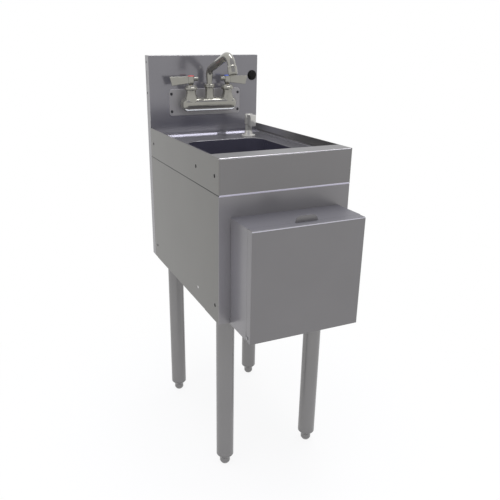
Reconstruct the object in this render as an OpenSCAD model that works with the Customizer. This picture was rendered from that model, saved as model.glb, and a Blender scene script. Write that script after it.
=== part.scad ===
// Underbar hand sink with wall faucet, soap pump and towel dispenser.
// Millimetres, Z up, origin on the floor at the middle of the overall box.

/* [Body] */
// Width over the side panels
sink_width = 304.8; // [280:1:420]
// Depth from the front panel to the back of the splash
sink_depth = 487; // [470:1:560]
// Height of the front rim above the floor
rim_height = 765; // [740:1:860]
// Thickness of the steel sheet
sheet = 1.2; // [0.9:0.1:1.6]
// Height of the side and front panels measured down from the rim
body_height = 354.5; // [340:1:380]
// Height of the apron of the top
apron_height = 75; // [65:1:90]
// Depth of the flat front rim
rim_depth = 51; // [40:1:60]
// Drop from the rim to the deck
deck_drop = 22; // [15:1:28]
// Radius between the deck and the side walls
side_cove = 6; // [4:0.5:9]
// Radius between the deck and the splash
rear_cove = 6; // [4:0.5:20]
// Height of the joint of pan and splash above the deck
splash_foot = 40; // [32:1:48]
// Outer radius of the long bends
bend_radius = 3; // [2:0.5:4]
// Width of the strip of the splash that runs down the back
rear_strip = 24; // [20:1:26]
// Width of the flanges that the splash turns inwards at the back
back_flange = 27; // [12:1:30]
// Radius of the joining holes in the side walls
join_hole_r = 4; // [2:0.5:5]

/* [Bowl] */
// Deck left and right of the bowl opening, out to the panels
side_deck = 50.8; // [45:0.2:62]
// Front edge of the bowl opening behind the front panel
bowl_front = 64; // [60:1:90]
// Deck between the bowl opening and the splash
rear_deck = 115.5; // [115:0.5:150]
// Corner radius of the bowl
bowl_corner = 38; // [25:1:45]
// Depth of the bowl below the deck
bowl_depth = 178; // [150:1:180]
// Radius between the bowl walls and its floor
bowl_floor_r = 24; // [15:1:30]

/* [Splash] */
// Height of the splash above the rim
splash_height = 179.5; // [175:1:240]
// Thickness of the splash
splash_depth = 28.5; // [27:0.5:40]
// Spare hole in from the right side
plug_inset = 15.5; // [15:0.5:30]
// Spare hole below the top of the splash
plug_drop = 52.4; // [30:0.2:70]

/* [Legs] */
// Outer radius of a leg tube
leg_r = 20.65; // [19:0.05:22]
// Wall of a leg tube
leg_wall = 1.2; // [1:0.1:2]
// Leg axes in from the side panels
leg_inset = 37.4; // [36:0.2:48]
// Front legs behind the front panel
front_leg_y = 53; // [50:1:70]
// Rear leg axes in front of the back
rear_leg_inset = 85; // [68:1:105]
// Thickness of the leg channels
channel_sheet = 2.5; // [2:0.1:3]
// Total height of a foot below the tube
foot_height = 29; // [26:1:40]
// Radius of the straight part of a foot
foot_r = 12.4; // [10:0.1:16]

/* [Faucet] */
// Distance of the faucet axes in front of the splash
faucet_out = 31; // [30:1:45]
// Half distance between the hot and cold handles
valve_x = 50.8; // [48:0.4:60]
// Bottom of the faucet body above the rim
faucet_low = 41.5; // [38:0.5:50]
// Height of the faucet body
faucet_tall = 34.5; // [32:0.5:40]
// Reach of the spout
spout_reach = 150; // [130:1:200]
// Outer radius of the spout tube
spout_r = 7.5; // [6.5:0.1:9]
// Rise of the sloping part of the spout in degrees
spout_rise = 17.5; // [10:0.5:25]
// Forward tilt of the spout end in degrees
spout_tilt = 20; // [5:1:30]
// Lower end of the spout above the faucet body
spout_end_height = 62; // [55:1:90]
// Length of a handle blade from its axis
blade_length = 57.2; // [45:0.1:70]
// Height of a handle blade at its tip
blade_height = 22.5; // [16:0.5:26]

/* [Soap] */
// Pump axis in from the right side
pump_inset = 63.4; // [58:0.2:72]
// Pump axis in front of the splash
pump_out = 84.5; // [75:0.5:90]
// Travel of the pump head
pump_travel = 10; // [6:1:12]
// Height of the soap bottle
bottle_height = 150; // [110:1:160]

/* [Towel dispenser] */
// Sides of the dispenser in from the side panels
box_inset = 25.4; // [13:0.2:42]
// Depth of the dispenser
box_depth = 100; // [80:1:120]
// Top of the dispenser below the rim
box_drop = 120.5; // [100:1:130]
// Depth of the side flanges of the door
door_flange = 20; // [16:1:26]
// Height of the finger tab
tab_height = 13; // [10:0.5:18]

/* [Hidden] */
$fn = 64;
eps = 1;
pin_gap = 0.05;
part_gap = 0.4;
weld = 0.5;
step = 0.05;
half_width = sink_width / 2;
wall_in = half_width - sheet;
splash_face = sink_depth - splash_depth;
strip_y = sink_depth - rear_strip;
deck_z = rim_height - deck_drop;
cove_top = deck_z + splash_foot;
seam_z = rim_height - apron_height;
body_low = rim_height - body_height;
splash_top = rim_height + splash_height;
plug_x = half_width - plug_inset;
plug_z = splash_top - plug_drop;
plug_r = 13;
plug_hole_r = 10.2;
y_front = (box_depth - sink_depth) / 2;
bowl_half_width = half_width - side_deck;
bowl_back = splash_face - rear_deck;
bowl_mid = (bowl_front + bowl_back) / 2;
bowl_floor = deck_z - bowl_depth;
drain_r = 22;
drain_low = bowl_floor - 36;
tail_r = 19.05;
groove = 1;
leg_x = half_width - leg_inset;
rear_leg_y = sink_depth - rear_leg_inset;
join_y = [22, 126.5, splash_face - 19];
join_high = rim_height - 38;
join_low = rim_height - 318;
lap = 15;
flange = 12;
channel_low = body_low - channel_sheet;
front_channel_half = 33;
rear_channel_half = 44;
leg_top = body_low + 45;
socket_r = leg_r + 2.35;
insert_low = foot_height + 2;
insert_high = insert_low + 18;
stud_r = 6;
fy = splash_face - faucet_out;
plate_t = 1.5;
plate_y = splash_face - plate_t;
plate_half = 100;
plate_low = rim_height + faucet_low - 13.2;
plate_high = plate_low + 67.7;
screw_x = 94.4;
screw_low = plate_low + 11.2;
screw_high = plate_high - 12;
screw_r = 2;
screw_len = 9;
body_half = valve_x + 25.2;
body_front = fy - 17;
body_z0 = rim_height + faucet_low;
body_z1 = body_z0 + faucet_tall;
shank_z = body_z0 + 16;
shank_r = 10.5;
back_t = 2;
back_y = splash_face + sheet;
washer_y = back_y + back_t;
nut_y = washer_y + 1.5;
nut_end = nut_y + 7;
column_z = body_z1 + 20;
spout_column_z = body_z1 + 25;
cart_r = 9;
cart_z0 = shank_z - 7;
cart_z1 = column_z + 7;
bonnet_r = 17;
bonnet_z1 = column_z + 11;
stem_r = 4;
stem_z0 = body_z1 + 2;
hub_r = 8.3;
hub_z0 = bonnet_z1 + 0.6;
hub_z1 = hub_z0 + 20.9;
stem_z1 = hub_z1 - 4.5;
index_r = 8;
index_t = 2.5;
spout_collar_r = 9.2;
gland_r = 9.5;
ring_z = spout_column_z - 5;
ring_t = 2.5;
spout_nut_r = 14.3;
spout_nut_t = 8.5;
spout_z0 = body_z0 + 24;
bend_low_r = 18;
bend_high_r = 31;
neck_r = spout_r + 1.1;
slope_r = spout_r + 2.3;
tube_in = spout_r - 1.5;
tip_r = 11.4;
tip_len = 21;
tip_z = body_z1 + spout_end_height;
low_turn = 90 - spout_rise;
high_turn = 90 - spout_tilt + spout_rise;
low_len = bend_low_r * tan(low_turn / 2);
high_len = bend_high_r * tan(high_turn / 2);
crest_y = spout_reach - (tip_len + high_len) * sin(spout_tilt);
crest_z = tip_z + (tip_len + high_len) * cos(spout_tilt);
spout_corner_z = crest_z - crest_y * tan(spout_rise);
slope_len = crest_y / cos(spout_rise) - low_len - high_len;
pump_x = half_width - pump_inset;
pump_y = splash_face - pump_out;
collar_flange_r = 18.5;
collar_flange_t = 4;
collar_neck_r = 8.5;
collar_top = rim_height + 8;
thread_r = 11;
thread_low = deck_z - 44 - pump_travel;
pump_nut_r = 17;
pump_nut_t = 7;
bottle_r = 27;
bottle_top = deck_z - 30;
bottle_low = bottle_top - bottle_height;
head_r = 10.5;
head_low = collar_top + 1.5;
head_high = head_low + 25.5;
pump_stem_r = 3;
spring_high = deck_z - 6;
spring_seat = spring_high - 3.2 * pump_travel;
stem_low = thread_low + pump_travel + 2;
spring_r = 5;
wire_r = 0.7;
spring_turns = 5;
box_half_width = half_width - box_inset;
box_top = rim_height - box_drop;
box_low = channel_low;
box_in = box_half_width - sheet;
door_y = -box_depth + door_flange;
pin_y = -box_depth + 14.5;
pin_z = box_low + 7.9;
pin_r = 2;
tab_half = 25;
hinge_in = 3.1;
rivet_x = 90;
rivet_z = [box_low + 40, box_top - 40];

// Moves a shape from the front panel frame to the frame of the part
module seat() {
    translate([0, y_front, 0]) children();
}

module box(x0, x1, y0, y1, z0, z1) {
    translate([x0, y0, z0]) cube([x1 - x0, y1 - y0, z1 - z0]);
}

module rod(r, z0, z1) {
    translate([0, 0, z0]) cylinder(r = r, h = z1 - z0);
}

module pipe(ro, ri, z0, z1) {
    difference() {
        rod(ro, z0, z1);
        rod(ri, z0 - eps, z1 + eps);
    }
}

// Upright shape drawn in Y and Z, pushed out along X
module along_x(x0, x1) {
    translate([x0, 0, 0]) rotate([90, 0, 90]) linear_extrude(x1 - x0) children();
}

// Upright shape drawn in X and Z, pushed out along Y
module along_y(y0, y1) {
    translate([0, y1, 0]) rotate([90, 0, 0]) linear_extrude(y1 - y0) children();
}

// Round bar along X or Y
module bar_x(r, x0, x1, y, z) {
    translate([x0, y, z]) rotate([0, 90, 0]) cylinder(r = r, h = x1 - x0);
}

module bar_y(r, y0, y1, x, z) {
    translate([x, y1, z]) rotate([90, 0, 0]) cylinder(r = r, h = y1 - y0);
}

module area(a0, a1, b0, b1) {
    translate([a0, b0]) square([a1 - a0, b1 - b0]);
}

// Quarter disc that fills the corner at (a, b), reaching the way of the signs
module quarter(a, b, sa, sb, r) {
    intersection() {
        translate([a + sa * r, b + sb * r]) circle(r);
        translate([min(a, a + sa * r), min(b, b + sb * r)]) square(r);
    }
}

// Trough outline, rounded at its two lower corners
module trough(a0, a1, b0, b1, r0, r1) {
    area(a0 + r0, a1 - r1, b0, b1);
    if (b1 - b0 > r0 + 0.01) area(a0, a0 + r0, b0 + r0, b1);
    if (b1 - b0 > r1 + 0.01) area(a1 - r1, a1, b0 + r1, b1);
    quarter(a0, b0, 1, 1, r0);
    quarter(a1, b0, -1, 1, r1);
}

// Rectangle with four rounded corners
module round_area(a0, a1, b0, b1, r) {
    area(a0 + r, a1 - r, b0, b1);
    area(a0, a0 + r, b0 + r, b1 - r);
    area(a1 - r, a1, b0 + r, b1 - r);
    quarter(a0, b0, 1, 1, r);
    quarter(a1, b0, -1, 1, r);
    quarter(a0, b1, 1, -1, r);
    quarter(a1, b1, -1, -1, r);
}

// Front and top sheet bent in one, drawn in Y and Z
module bent_edge(y0, y1, z0, z1) {
    difference() {
        union() {
            area(y0 + bend_radius, y1, z0, z1);
            area(y0, y0 + bend_radius, z0, z1 - bend_radius);
            quarter(y0, z1, 1, -1, bend_radius);
        }
        area(y0 + bend_radius, y1 + eps, z0 - eps, z1 - sheet);
        area(y0 + sheet, y0 + bend_radius + eps, z0 - eps, z1 - bend_radius);
        quarter(y0 + sheet, z1 - sheet, 1, -1, bend_radius - sheet);
    }
}

module both_sides() {
    children();
    mirror([1, 0, 0]) children();
}

module four_legs() {
    for (x = [-leg_x, leg_x], y = [front_leg_y, rear_leg_y]) translate([x, y, 0]) children();
}

module both_valves() {
    for (x = [-valve_x, valve_x]) translate([x, fy, 0]) children();
}

// Space above the deck, grown by the sheet for the outside of the pan
module pan(g) {
    intersection() {
        along_y(rim_depth - sheet, splash_face + sheet)
            trough(-wall_in - g, wall_in + g, deck_z - g, cove_top + 2 * (sheet - g),
                side_cove + g, side_cove + g);
        along_x(-half_width, half_width)
            trough(rim_depth - g, splash_face + g, deck_z - g, cove_top + 2 * (sheet - g),
                side_cove + g, rear_cove + g);
    }
}

module join_holes(z) {
    for (y = join_y) bar_x(join_hole_r, -half_width - eps, half_width + eps, y, z);
}

module sink_top() {
    color("#9a9994") seat() difference() {
        union() {
            difference() {
                pan(sheet);
                box(-half_width - eps, half_width + eps, 0, splash_face - sheet * 5,
                    rim_height, cove_top + 5);
                both_sides() box(wall_in, half_width + eps, 0, sink_depth, rim_height,
                    cove_top + 5);
            }
            along_x(-half_width, half_width) bent_edge(0, rim_depth, seam_z, rim_height);
            both_sides() box(wall_in, half_width, sheet, strip_y - part_gap / 2, seam_z,
                rim_height);
        }
        pan(0);
        translate([0, 0, deck_z - 5]) linear_extrude(10)
            round_area(-bowl_half_width, bowl_half_width, bowl_front, bowl_back, bowl_corner);
        translate([pump_x, pump_y, 0]) rod(thread_r + 0.3, deck_z - 5, deck_z + 5);
        join_holes(join_high);
    }
}

module bowl_shape(g, top) {
    intersection() {
        translate([0, 0, bowl_floor - g]) linear_extrude(top - bowl_floor + g)
            round_area(-bowl_half_width - g, bowl_half_width + g, bowl_front - g,
                bowl_back + g, bowl_corner + g);
        along_y(bowl_front - g, bowl_back + g)
            trough(-bowl_half_width - g, bowl_half_width + g, bowl_floor - g, top,
                bowl_floor_r + g, bowl_floor_r + g);
        along_x(-bowl_half_width - g, bowl_half_width + g)
            trough(bowl_front - g, bowl_back + g, bowl_floor - g, top,
                bowl_floor_r + g, bowl_floor_r + g);
    }
}

module sink_bowl() {
    lip_z = deck_z - sheet;
    color("#7c7b84") seat() difference() {
        union() {
            bowl_shape(sheet, lip_z);
            translate([0, 0, lip_z - sheet]) linear_extrude(sheet)
                round_area(-bowl_half_width - 9, bowl_half_width + 9, bowl_front - 9,
                    bowl_back + 9, bowl_corner + 9);
        }
        bowl_shape(0, lip_z + eps);
        translate([0, bowl_mid, 0]) rod(drain_r, bowl_floor - 5, bowl_floor + 5);
        translate([pump_x, pump_y, 0]) rod(thread_r + 8, lip_z - 5, lip_z + 5);
    }
}

module splash_openings() {
    for (x = [-valve_x, valve_x]) bar_y(shank_r + 0.4, plate_y - eps, washer_y + eps, x, shank_z);
    for (x = [-screw_x, screw_x], z = [screw_low, screw_high])
        bar_y(screw_r, plate_y - eps, washer_y + eps, x, z);
}

module backsplash() {
    color("#8f8e8b") seat() difference() {
        union() {
            along_x(-half_width, half_width)
                bent_edge(splash_face, sink_depth, cove_top, splash_top);
            both_sides() {
                box(wall_in, half_width, splash_face + sheet, sink_depth, rim_height,
                    splash_top - sheet);
                box(wall_in, half_width, strip_y + part_gap / 2, sink_depth, body_low,
                    rim_height);
                box(wall_in - back_flange, wall_in, sink_depth - sheet, sink_depth, body_low,
                    splash_top - sheet);
            }
        }
        splash_openings();
        bar_y(plug_hole_r, splash_face - eps, splash_face + 5, plug_x, plug_z);
        for (z = [87, 163])
            bar_x(3, -half_width - eps, half_width + eps, sink_depth - 8.8, rim_height + z);
        both_sides() box(wall_in - eps, half_width + eps, sink_depth - 9.6, sink_depth - 8,
            rim_height + 108, rim_height + 142);
    }
}

module right_panel_shape() {
    difference() {
        union() {
            box(wall_in, half_width, sheet, strip_y - part_gap / 2, body_low,
                seam_z - part_gap);
            box(wall_in - sheet, wall_in, lap, strip_y - 2, seam_z - lap, seam_z + lap);
            box(wall_in - sheet, wall_in, strip_y - lap, strip_y + lap, body_low + 22,
                seam_z - lap);
            box(wall_in - flange, wall_in, sheet, 2 * sheet, body_low, seam_z - 2 * lap);
            box(wall_in - flange, wall_in, 2 * sheet, strip_y - lap, body_low,
                body_low + sheet);
        }
        join_holes(join_low);
    }
}

module left_side_panel() {
    color("#a09f9a") seat() mirror([1, 0, 0]) right_panel_shape();
}

module right_side_panel() {
    color("#a09f9a") seat() right_panel_shape();
}

module front_panel() {
    inner = wall_in - flange - 2;
    color("#8b8a87") seat() difference() {
        union() {
            box(-half_width, half_width, 0, sheet, body_low, seam_z - part_gap);
            box(-inner, inner, sheet, 2 * sheet, seam_z - lap, seam_z + lap);
            box(-inner, inner, sheet, lap, body_low, body_low + sheet);
        }
        for (x = [-rivet_x, rivet_x], z = rivet_z) bar_y(screw_r, -eps, sheet + eps, x, z);
    }
}

module rear_rail() {
    rail_top = body_low + 20;
    color("#8b8a87") seat() {
        box(-wall_in, wall_in, sink_depth - 2 * sheet, sink_depth - sheet,
            body_low + sheet, rail_top);
        box(-wall_in, wall_in, sink_depth - 15, sink_depth - 2 * sheet, rail_top - sheet,
            rail_top);
    }
}

module leg_channel(y0, y1, leg_y) {
    inner = wall_in - flange - 4;
    difference() {
        union() {
            box(-wall_in, wall_in, y0, y1, channel_low, body_low);
            box(-inner, inner, y0, y0 + channel_sheet, body_low, body_low + 26);
            box(-inner, inner, y1 - channel_sheet, y1, body_low, body_low + 26);
        }
        for (x = [-leg_x, leg_x]) translate([x, leg_y, 0])
            rod(leg_r, channel_low - eps, body_low + eps);
    }
}

module front_leg_channel() {
    color("#7f7e7c") seat() leg_channel(front_leg_y - front_channel_half,
        front_leg_y + front_channel_half, front_leg_y);
}

module rear_leg_channel() {
    color("#7f7e7c") seat() leg_channel(rear_leg_y - rear_channel_half,
        rear_leg_y + rear_channel_half, rear_leg_y);
}

module leg_sockets() {
    color("#75747a") seat() four_legs() difference() {
        rod(socket_r, body_low, leg_top + 5);
        rod(leg_r, body_low - eps, leg_top);
        rod(leg_r - 6, leg_top - eps, leg_top + 5 + eps);
    }
}

module leg(x, y) {
    color("#9b9a98") seat() translate([x, y, 0])
        pipe(leg_r, leg_r - leg_wall, foot_height, leg_top);
}

module leg_front_left() {
    leg(-leg_x, front_leg_y);
}

module leg_front_right() {
    leg(leg_x, front_leg_y);
}

module leg_rear_left() {
    leg(-leg_x, rear_leg_y);
}

module leg_rear_right() {
    leg(leg_x, rear_leg_y);
}

module foot_inserts() {
    color("#6d6c70") seat() four_legs()
        pipe(leg_r - leg_wall, stud_r + pin_gap, insert_low, insert_high);
}

module foot(x, y) {
    tip = 5.5;
    neck = foot_height * 0.59;
    color("#a3a29f") seat() translate([x, y, 0]) {
        cylinder(r1 = 9, r2 = foot_r, h = tip);
        rod(foot_r, tip, neck);
        translate([0, 0, neck]) cylinder(r1 = foot_r, r2 = leg_r, h = foot_height - 2 - neck);
        rod(leg_r, foot_height - 2, foot_height);
        rod(stud_r, foot_height, insert_high + 46);
    }
}

module foot_front_left() {
    foot(-leg_x, front_leg_y);
}

module foot_front_right() {
    foot(leg_x, front_leg_y);
}

module foot_rear_left() {
    foot(-leg_x, rear_leg_y);
}

module foot_rear_right() {
    foot(leg_x, rear_leg_y);
}

module faucet_plate() {
    color("#b5b4aa") seat() difference() {
        along_y(plate_y, splash_face)
            round_area(-plate_half, plate_half, plate_low, plate_high, 7);
        splash_openings();
    }
}

module plate_screws() {
    color("#c9c8c0") seat() for (x = [-screw_x, screw_x], z = [screw_low, screw_high]) {
        bar_y(screw_r, plate_y, plate_y + screw_len, x, z);
        intersection() {
            translate([x, plate_y + 3.6, z]) sphere(r = 5.2);
            bar_y(3.8, plate_y - 3, plate_y, x, z);
        }
    }
}

module backing_plate() {
    color("#77767a") seat() difference() {
        box(-plate_half, plate_half, back_y, washer_y, plate_low, plate_high);
        splash_openings();
    }
}

module faucet_body() {
    color("#b9b8ac") seat() difference() {
        union() {
            intersection() {
                translate([0, 0, body_z0]) linear_extrude(faucet_tall) union() {
                    round_area(-body_half, body_half, body_front, plate_y - 6, 17);
                    area(-body_half + 8, body_half - 8, fy, plate_y);
                }
                along_x(-body_half, body_half)
                    round_area(body_front, plate_y + 30, body_z0, body_z1, 13);
                along_y(body_front, plate_y)
                    round_area(-body_half, body_half, body_z0, body_z1, 14);
            }
            both_valves() {
                rod(12.25, body_z1 - 8, column_z);
                translate([0, 0, body_z1 - 8])
                    cylinder(r1 = fy - body_front, r2 = 12.25, h = 22);
            }
            translate([0, fy, 0]) {
                rod(11, body_z1 - 8, spout_column_z);
                translate([0, 0, body_z1 - 2])
                    cylinder(r1 = fy - body_front, r2 = 11, h = 15);
            }
        }
        both_valves() rod(cart_r, cart_z0, column_z + eps);
        translate([0, fy, 0]) {
            rod(spout_r + pin_gap, spout_z0 - 1, spout_column_z + eps);
            rod(5, shank_z - 3, spout_z0);
            rod(gland_r, ring_z, spout_column_z + eps);
        }
        bar_x(4.5, -valve_x + 5, valve_x - 5, fy, shank_z);
        for (x = [-valve_x, valve_x]) {
            bar_y(cart_r, plate_y - 10, plate_y + eps, x, shank_z);
            bar_y(6.5, fy + 5, plate_y, x, shank_z);
        }
    }
}

module supply_shanks() {
    color("#b0a070") seat() for (x = [-valve_x, valve_x]) difference() {
        union() {
            bar_y(cart_r, plate_y - 10, plate_y, x, shank_z);
            bar_y(shank_r, plate_y, sink_depth - 1, x, shank_z);
        }
        bar_y(6.5, plate_y - 10 - eps, sink_depth, x, shank_z);
        translate([x, 0, shank_z]) relief(shank_r, nut_end + 0.5);
    }
}

// Groove that ends a thread, round Y from the given place on
module relief(r, y) {
    translate([0, y + groove, 0]) rotate([90, 0, 0])
        pipe(r + eps, r - groove / 2, 0, groove);
}

module shank_washers() {
    color("#8f8e92") seat() for (x = [-valve_x, valve_x]) difference() {
        bar_y(16, washer_y, nut_y, x, shank_z);
        bar_y(shank_r + 0.2, washer_y - eps, nut_y + eps, x, shank_z);
    }
}

module shank_nuts() {
    color("#b0a070") seat() for (x = [-valve_x, valve_x]) difference() {
        translate([x, nut_end, shank_z]) rotate([90, 0, 0])
            cylinder(r = 17, h = nut_end - nut_y, $fn = 6);
        bar_y(shank_r, nut_y - eps, nut_end + eps, x, shank_z);
    }
}

module cartridge(x) {
    color("#8d8c92") seat() translate([x, fy, 0]) difference() {
        rod(cart_r, cart_z0, cart_z1);
        rod(stem_r + pin_gap, stem_z0 - 1, cart_z1 + eps);
        rod(3, cart_z0 - eps, stem_z0);
        bar_y(6, 0, 12, 0, shank_z);
    }
}

module hot_cartridge() {
    cartridge(-valve_x);
}

module cold_cartridge() {
    cartridge(valve_x);
}

module bonnet_nut(x) {
    color("#b9b8ac") seat() translate([x, fy, 0]) difference() {
        union() {
            rod(bonnet_r, column_z, bonnet_z1 - 5);
            translate([0, 0, bonnet_z1 - 5])
                cylinder(r1 = bonnet_r, r2 = bonnet_r - 5, h = 5);
        }
        rod(cart_r, column_z - eps, cart_z1);
        rod(stem_r + 0.5, column_z, bonnet_z1 + eps);
    }
}

module hot_bonnet_nut() {
    bonnet_nut(-valve_x);
}

module cold_bonnet_nut() {
    bonnet_nut(valve_x);
}

module stem(x) {
    color("#a7a6a2") seat() translate([x, fy, 0]) difference() {
        rod(stem_r, stem_z0, stem_z1);
        rod(screw_r, stem_z1 - 10, stem_z1 + eps);
    }
}

module hot_stem() {
    stem(-valve_x);
}

module cold_stem() {
    stem(valve_x);
}

// Handle of the right valve with its axis at zero, blade towards +X
module handle_shape() {
    difference() {
        union() {
            translate([0, 0, hub_z0]) cylinder(r1 = 5.4, r2 = hub_r, h = 6);
            rod(hub_r, hub_z0 + 6, hub_z1);
            along_y(-3.5, 3.5) polygon([[0, hub_z1], [blade_length, hub_z1],
                [blade_length - 6.5, hub_z1 - blade_height], [10, hub_z0 + 4],
                [0, hub_z0 + 4]]);
            bar_x(4.7, -19.3, 0, 0, hub_z1 - 6.5);
        }
        rod(stem_r, hub_z0 - eps, stem_z1);
        rod(3.6, stem_z1, hub_z1 + eps);
    }
}

module hot_handle() {
    color("#b9b8ac") seat() translate([-valve_x, fy, 0]) mirror([1, 0, 0]) handle_shape();
}

module cold_handle() {
    color("#b9b8ac") seat() translate([valve_x, fy, 0]) handle_shape();
}

module index_button(x) {
    seat() translate([x, fy, 0]) {
        rod(index_r, hub_z1, hub_z1 + index_t);
        rod(3.5, hub_z1 - 1, hub_z1);
    }
}

module hot_index() {
    color("#c8403f") index_button(-valve_x);
}

module cold_index() {
    color("#3f62c4") index_button(valve_x);
}

module handle_screw(x) {
    color("#8d8c92") seat() translate([x, fy, 0]) {
        rod(screw_r, stem_z1 - 9, stem_z1);
        rod(3.5, stem_z1, stem_z1 + 3);
    }
}

module hot_handle_screw() {
    handle_screw(-valve_x);
}

module cold_handle_screw() {
    handle_screw(valve_x);
}

module spout_nut() {
    color("#b9b8ac") seat() translate([0, fy, 0]) difference() {
        union() {
            rod(spout_nut_r, spout_column_z, spout_column_z + spout_nut_t - 2);
            translate([0, 0, spout_column_z + spout_nut_t - 2])
                cylinder(r1 = spout_nut_r, r2 = spout_nut_r - 2, h = 2);
        }
        rod(spout_r + pin_gap, spout_column_z - eps, spout_column_z + spout_nut_t + eps);
    }
}

module spout_o_ring() {
    color("#2c2c2e") seat() translate([0, fy, 0])
        pipe(gland_r, spout_r + pin_gap, ring_z, ring_z + ring_t);
}

// Bend that starts at zero heading up and turns forward; the children follow its end
module bend(r, turn_r, turn) {
    translate([0, -turn_r, 0]) rotate([0, 0, 90]) rotate([90, 0, 0])
        rotate_extrude(angle = turn) translate([turn_r, 0]) circle(r);
    after_bend(turn_r, turn) children();
}

module after_bend(turn_r, turn) {
    translate([0, -turn_r * (1 - cos(turn)), turn_r * sin(turn)]) rotate([turn, 0, 0])
        children();
}

// Places the children at the start of the spout end, heading along it
module at_tip() {
    translate([0, 0, spout_corner_z - low_len]) after_bend(bend_low_r, low_turn)
        translate([0, 0, slope_len]) after_bend(bend_high_r, high_turn) children();
}

module spout() {
    rise_z = spout_corner_z - low_len;
    taper_z = spout_column_z + spout_nut_t + 4;
    color("#b9b8ac") seat() translate([0, fy, 0]) difference() {
        union() {
            rod(spout_r, spout_z0, taper_z);
            rod(spout_collar_r, ring_z + ring_t + 0.3, spout_column_z - 0.3);
            translate([0, 0, taper_z])
                cylinder(r1 = spout_r, r2 = neck_r, h = rise_z - taper_z + weld);
            translate([0, 0, rise_z]) bend(neck_r - step, bend_low_r, low_turn) {
                translate([0, 0, -weld])
                    cylinder(r1 = neck_r, r2 = slope_r, h = slope_len + 2 * weld);
                translate([0, 0, slope_len]) bend(slope_r - step, bend_high_r, high_turn)
                    rod(slope_r, -weld, 4);
            }
        }
        rod(tube_in, spout_z0 - eps, rise_z + weld);
        translate([0, 0, rise_z]) bend(tube_in - step, bend_low_r, low_turn) {
            rod(tube_in, -weld, slope_len + weld);
            translate([0, 0, slope_len]) bend(tube_in - step, bend_high_r, high_turn)
                rod(tube_in, -weld, 5);
        }
    }
}

module aerator() {
    color("#b9b8ac") seat() translate([0, fy, 0]) at_tip() difference() {
        union() {
            rod(tip_r, 2, tip_len);
            cylinder(r1 = slope_r, r2 = tip_r, h = 2);
        }
        rod(slope_r, -eps, 4);
        rod(tube_in, 3, tip_len - 6);
        rod(tip_r - 1.5, tip_len - 3, tip_len + eps);
        for (a = [0:60:300]) rotate([0, 0, a]) translate([3.6, 0, 0])
            rod(1.2, tip_len - 8, tip_len);
    }
}

module hole_plug() {
    color("#1c1c1f") seat() translate([plug_x, splash_face, plug_z])
        rotate([90, 0, 0]) {
            intersection() {
                translate([0, 0, -14.4]) sphere(r = 19.4);
                rod(plug_r, 0, 6);
            }
            rod(plug_hole_r, -sheet, 0);
            rod(plug_hole_r + 0.6, -sheet - 3, -sheet);
        }
}

module pump_collar() {
    color("#b9b8ac") seat() translate([pump_x, pump_y, 0]) difference() {
        union() {
            rod(collar_flange_r, deck_z, deck_z + collar_flange_t - 1);
            translate([0, 0, deck_z + collar_flange_t - 1])
                cylinder(r1 = collar_flange_r, r2 = collar_flange_r - 1, h = 1);
            translate([0, 0, deck_z + collar_flange_t])
                cylinder(r1 = 12, r2 = collar_neck_r, h = 10);
            rod(collar_neck_r, deck_z + collar_flange_t, collar_top);
            rod(thread_r, thread_low, deck_z);
        }
        rod(pump_stem_r + pin_gap, thread_low - eps, collar_top + eps);
        rod(spring_r + 2, spring_seat, spring_high + 2.1);
    }
}

module pump_nut() {
    nut_top = deck_z - sheet;
    color("#8d8c92") seat() translate([pump_x, pump_y, 0]) difference() {
        translate([0, 0, nut_top - pump_nut_t])
            cylinder(r = pump_nut_r, h = pump_nut_t, $fn = 6);
        rod(thread_r, nut_top - pump_nut_t - eps, nut_top + eps);
    }
}

module pump_stem() {
    color("#d8d8d4") seat() translate([pump_x, pump_y, 0]) difference() {
        union() {
            rod(pump_stem_r, stem_low, head_high - 6);
            rod(spring_r + 1.5, spring_high, spring_high + 1.8);
        }
        rod(1.3, stem_low - eps, head_high - 14);
        bar_y(1.3, -pump_stem_r - eps, 0, 0, head_high - 14);
    }
}

module pump_spring() {
    pitch = (spring_high - spring_seat - 2 * wire_r) / spring_turns;
    steps = 8;
    color("#8d8c92") seat() translate([pump_x, pump_y, spring_seat + wire_r])
        for (i = [0:spring_turns * steps - 1]) hull() {
            rotate([0, 0, i * 360 / steps]) translate([spring_r, 0, i * pitch / steps])
                rotate([90, 0, 0]) cylinder(r = wire_r, h = 0.02, $fn = 6);
            rotate([0, 0, (i + 1) * 360 / steps])
                translate([spring_r, 0, (i + 1) * pitch / steps])
                    rotate([90, 0, 0]) cylinder(r = wire_r, h = 0.02, $fn = 6);
        }
}

module pump_head() {
    nose_len = 28;
    nose_half = 8;
    nose_low = head_low - 4;
    color("#b9b8ac") seat() translate([pump_x, pump_y, 0]) difference() {
        union() {
            rod(head_r, head_low, head_high - 1);
            translate([0, 0, head_high - 1])
                cylinder(r1 = head_r, r2 = head_r - 1, h = 1);
            box(-nose_half, nose_half, -nose_len, -4, nose_low + 6, head_high - 0.5);
            box(-nose_half, nose_half, -nose_len, -nose_len + 11, nose_low, head_high - 0.5);
        }
        rod(collar_neck_r + 0.7, nose_low - eps, head_low + 14);
        rod(pump_stem_r + pin_gap, head_low, head_high - 6);
        bar_y(1.3, -nose_len + 5, 0, 0, head_high - 14);
        box(-nose_half + 2, nose_half - 2, -nose_len + 2, -nose_len + 9, nose_low - eps,
            head_low + 12);
    }
}

module dip_tube() {
    color("#d8d8d4") seat() translate([pump_x, pump_y, 0])
        pipe(3.2, 2, bottle_low + 8, thread_low);
}

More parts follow.
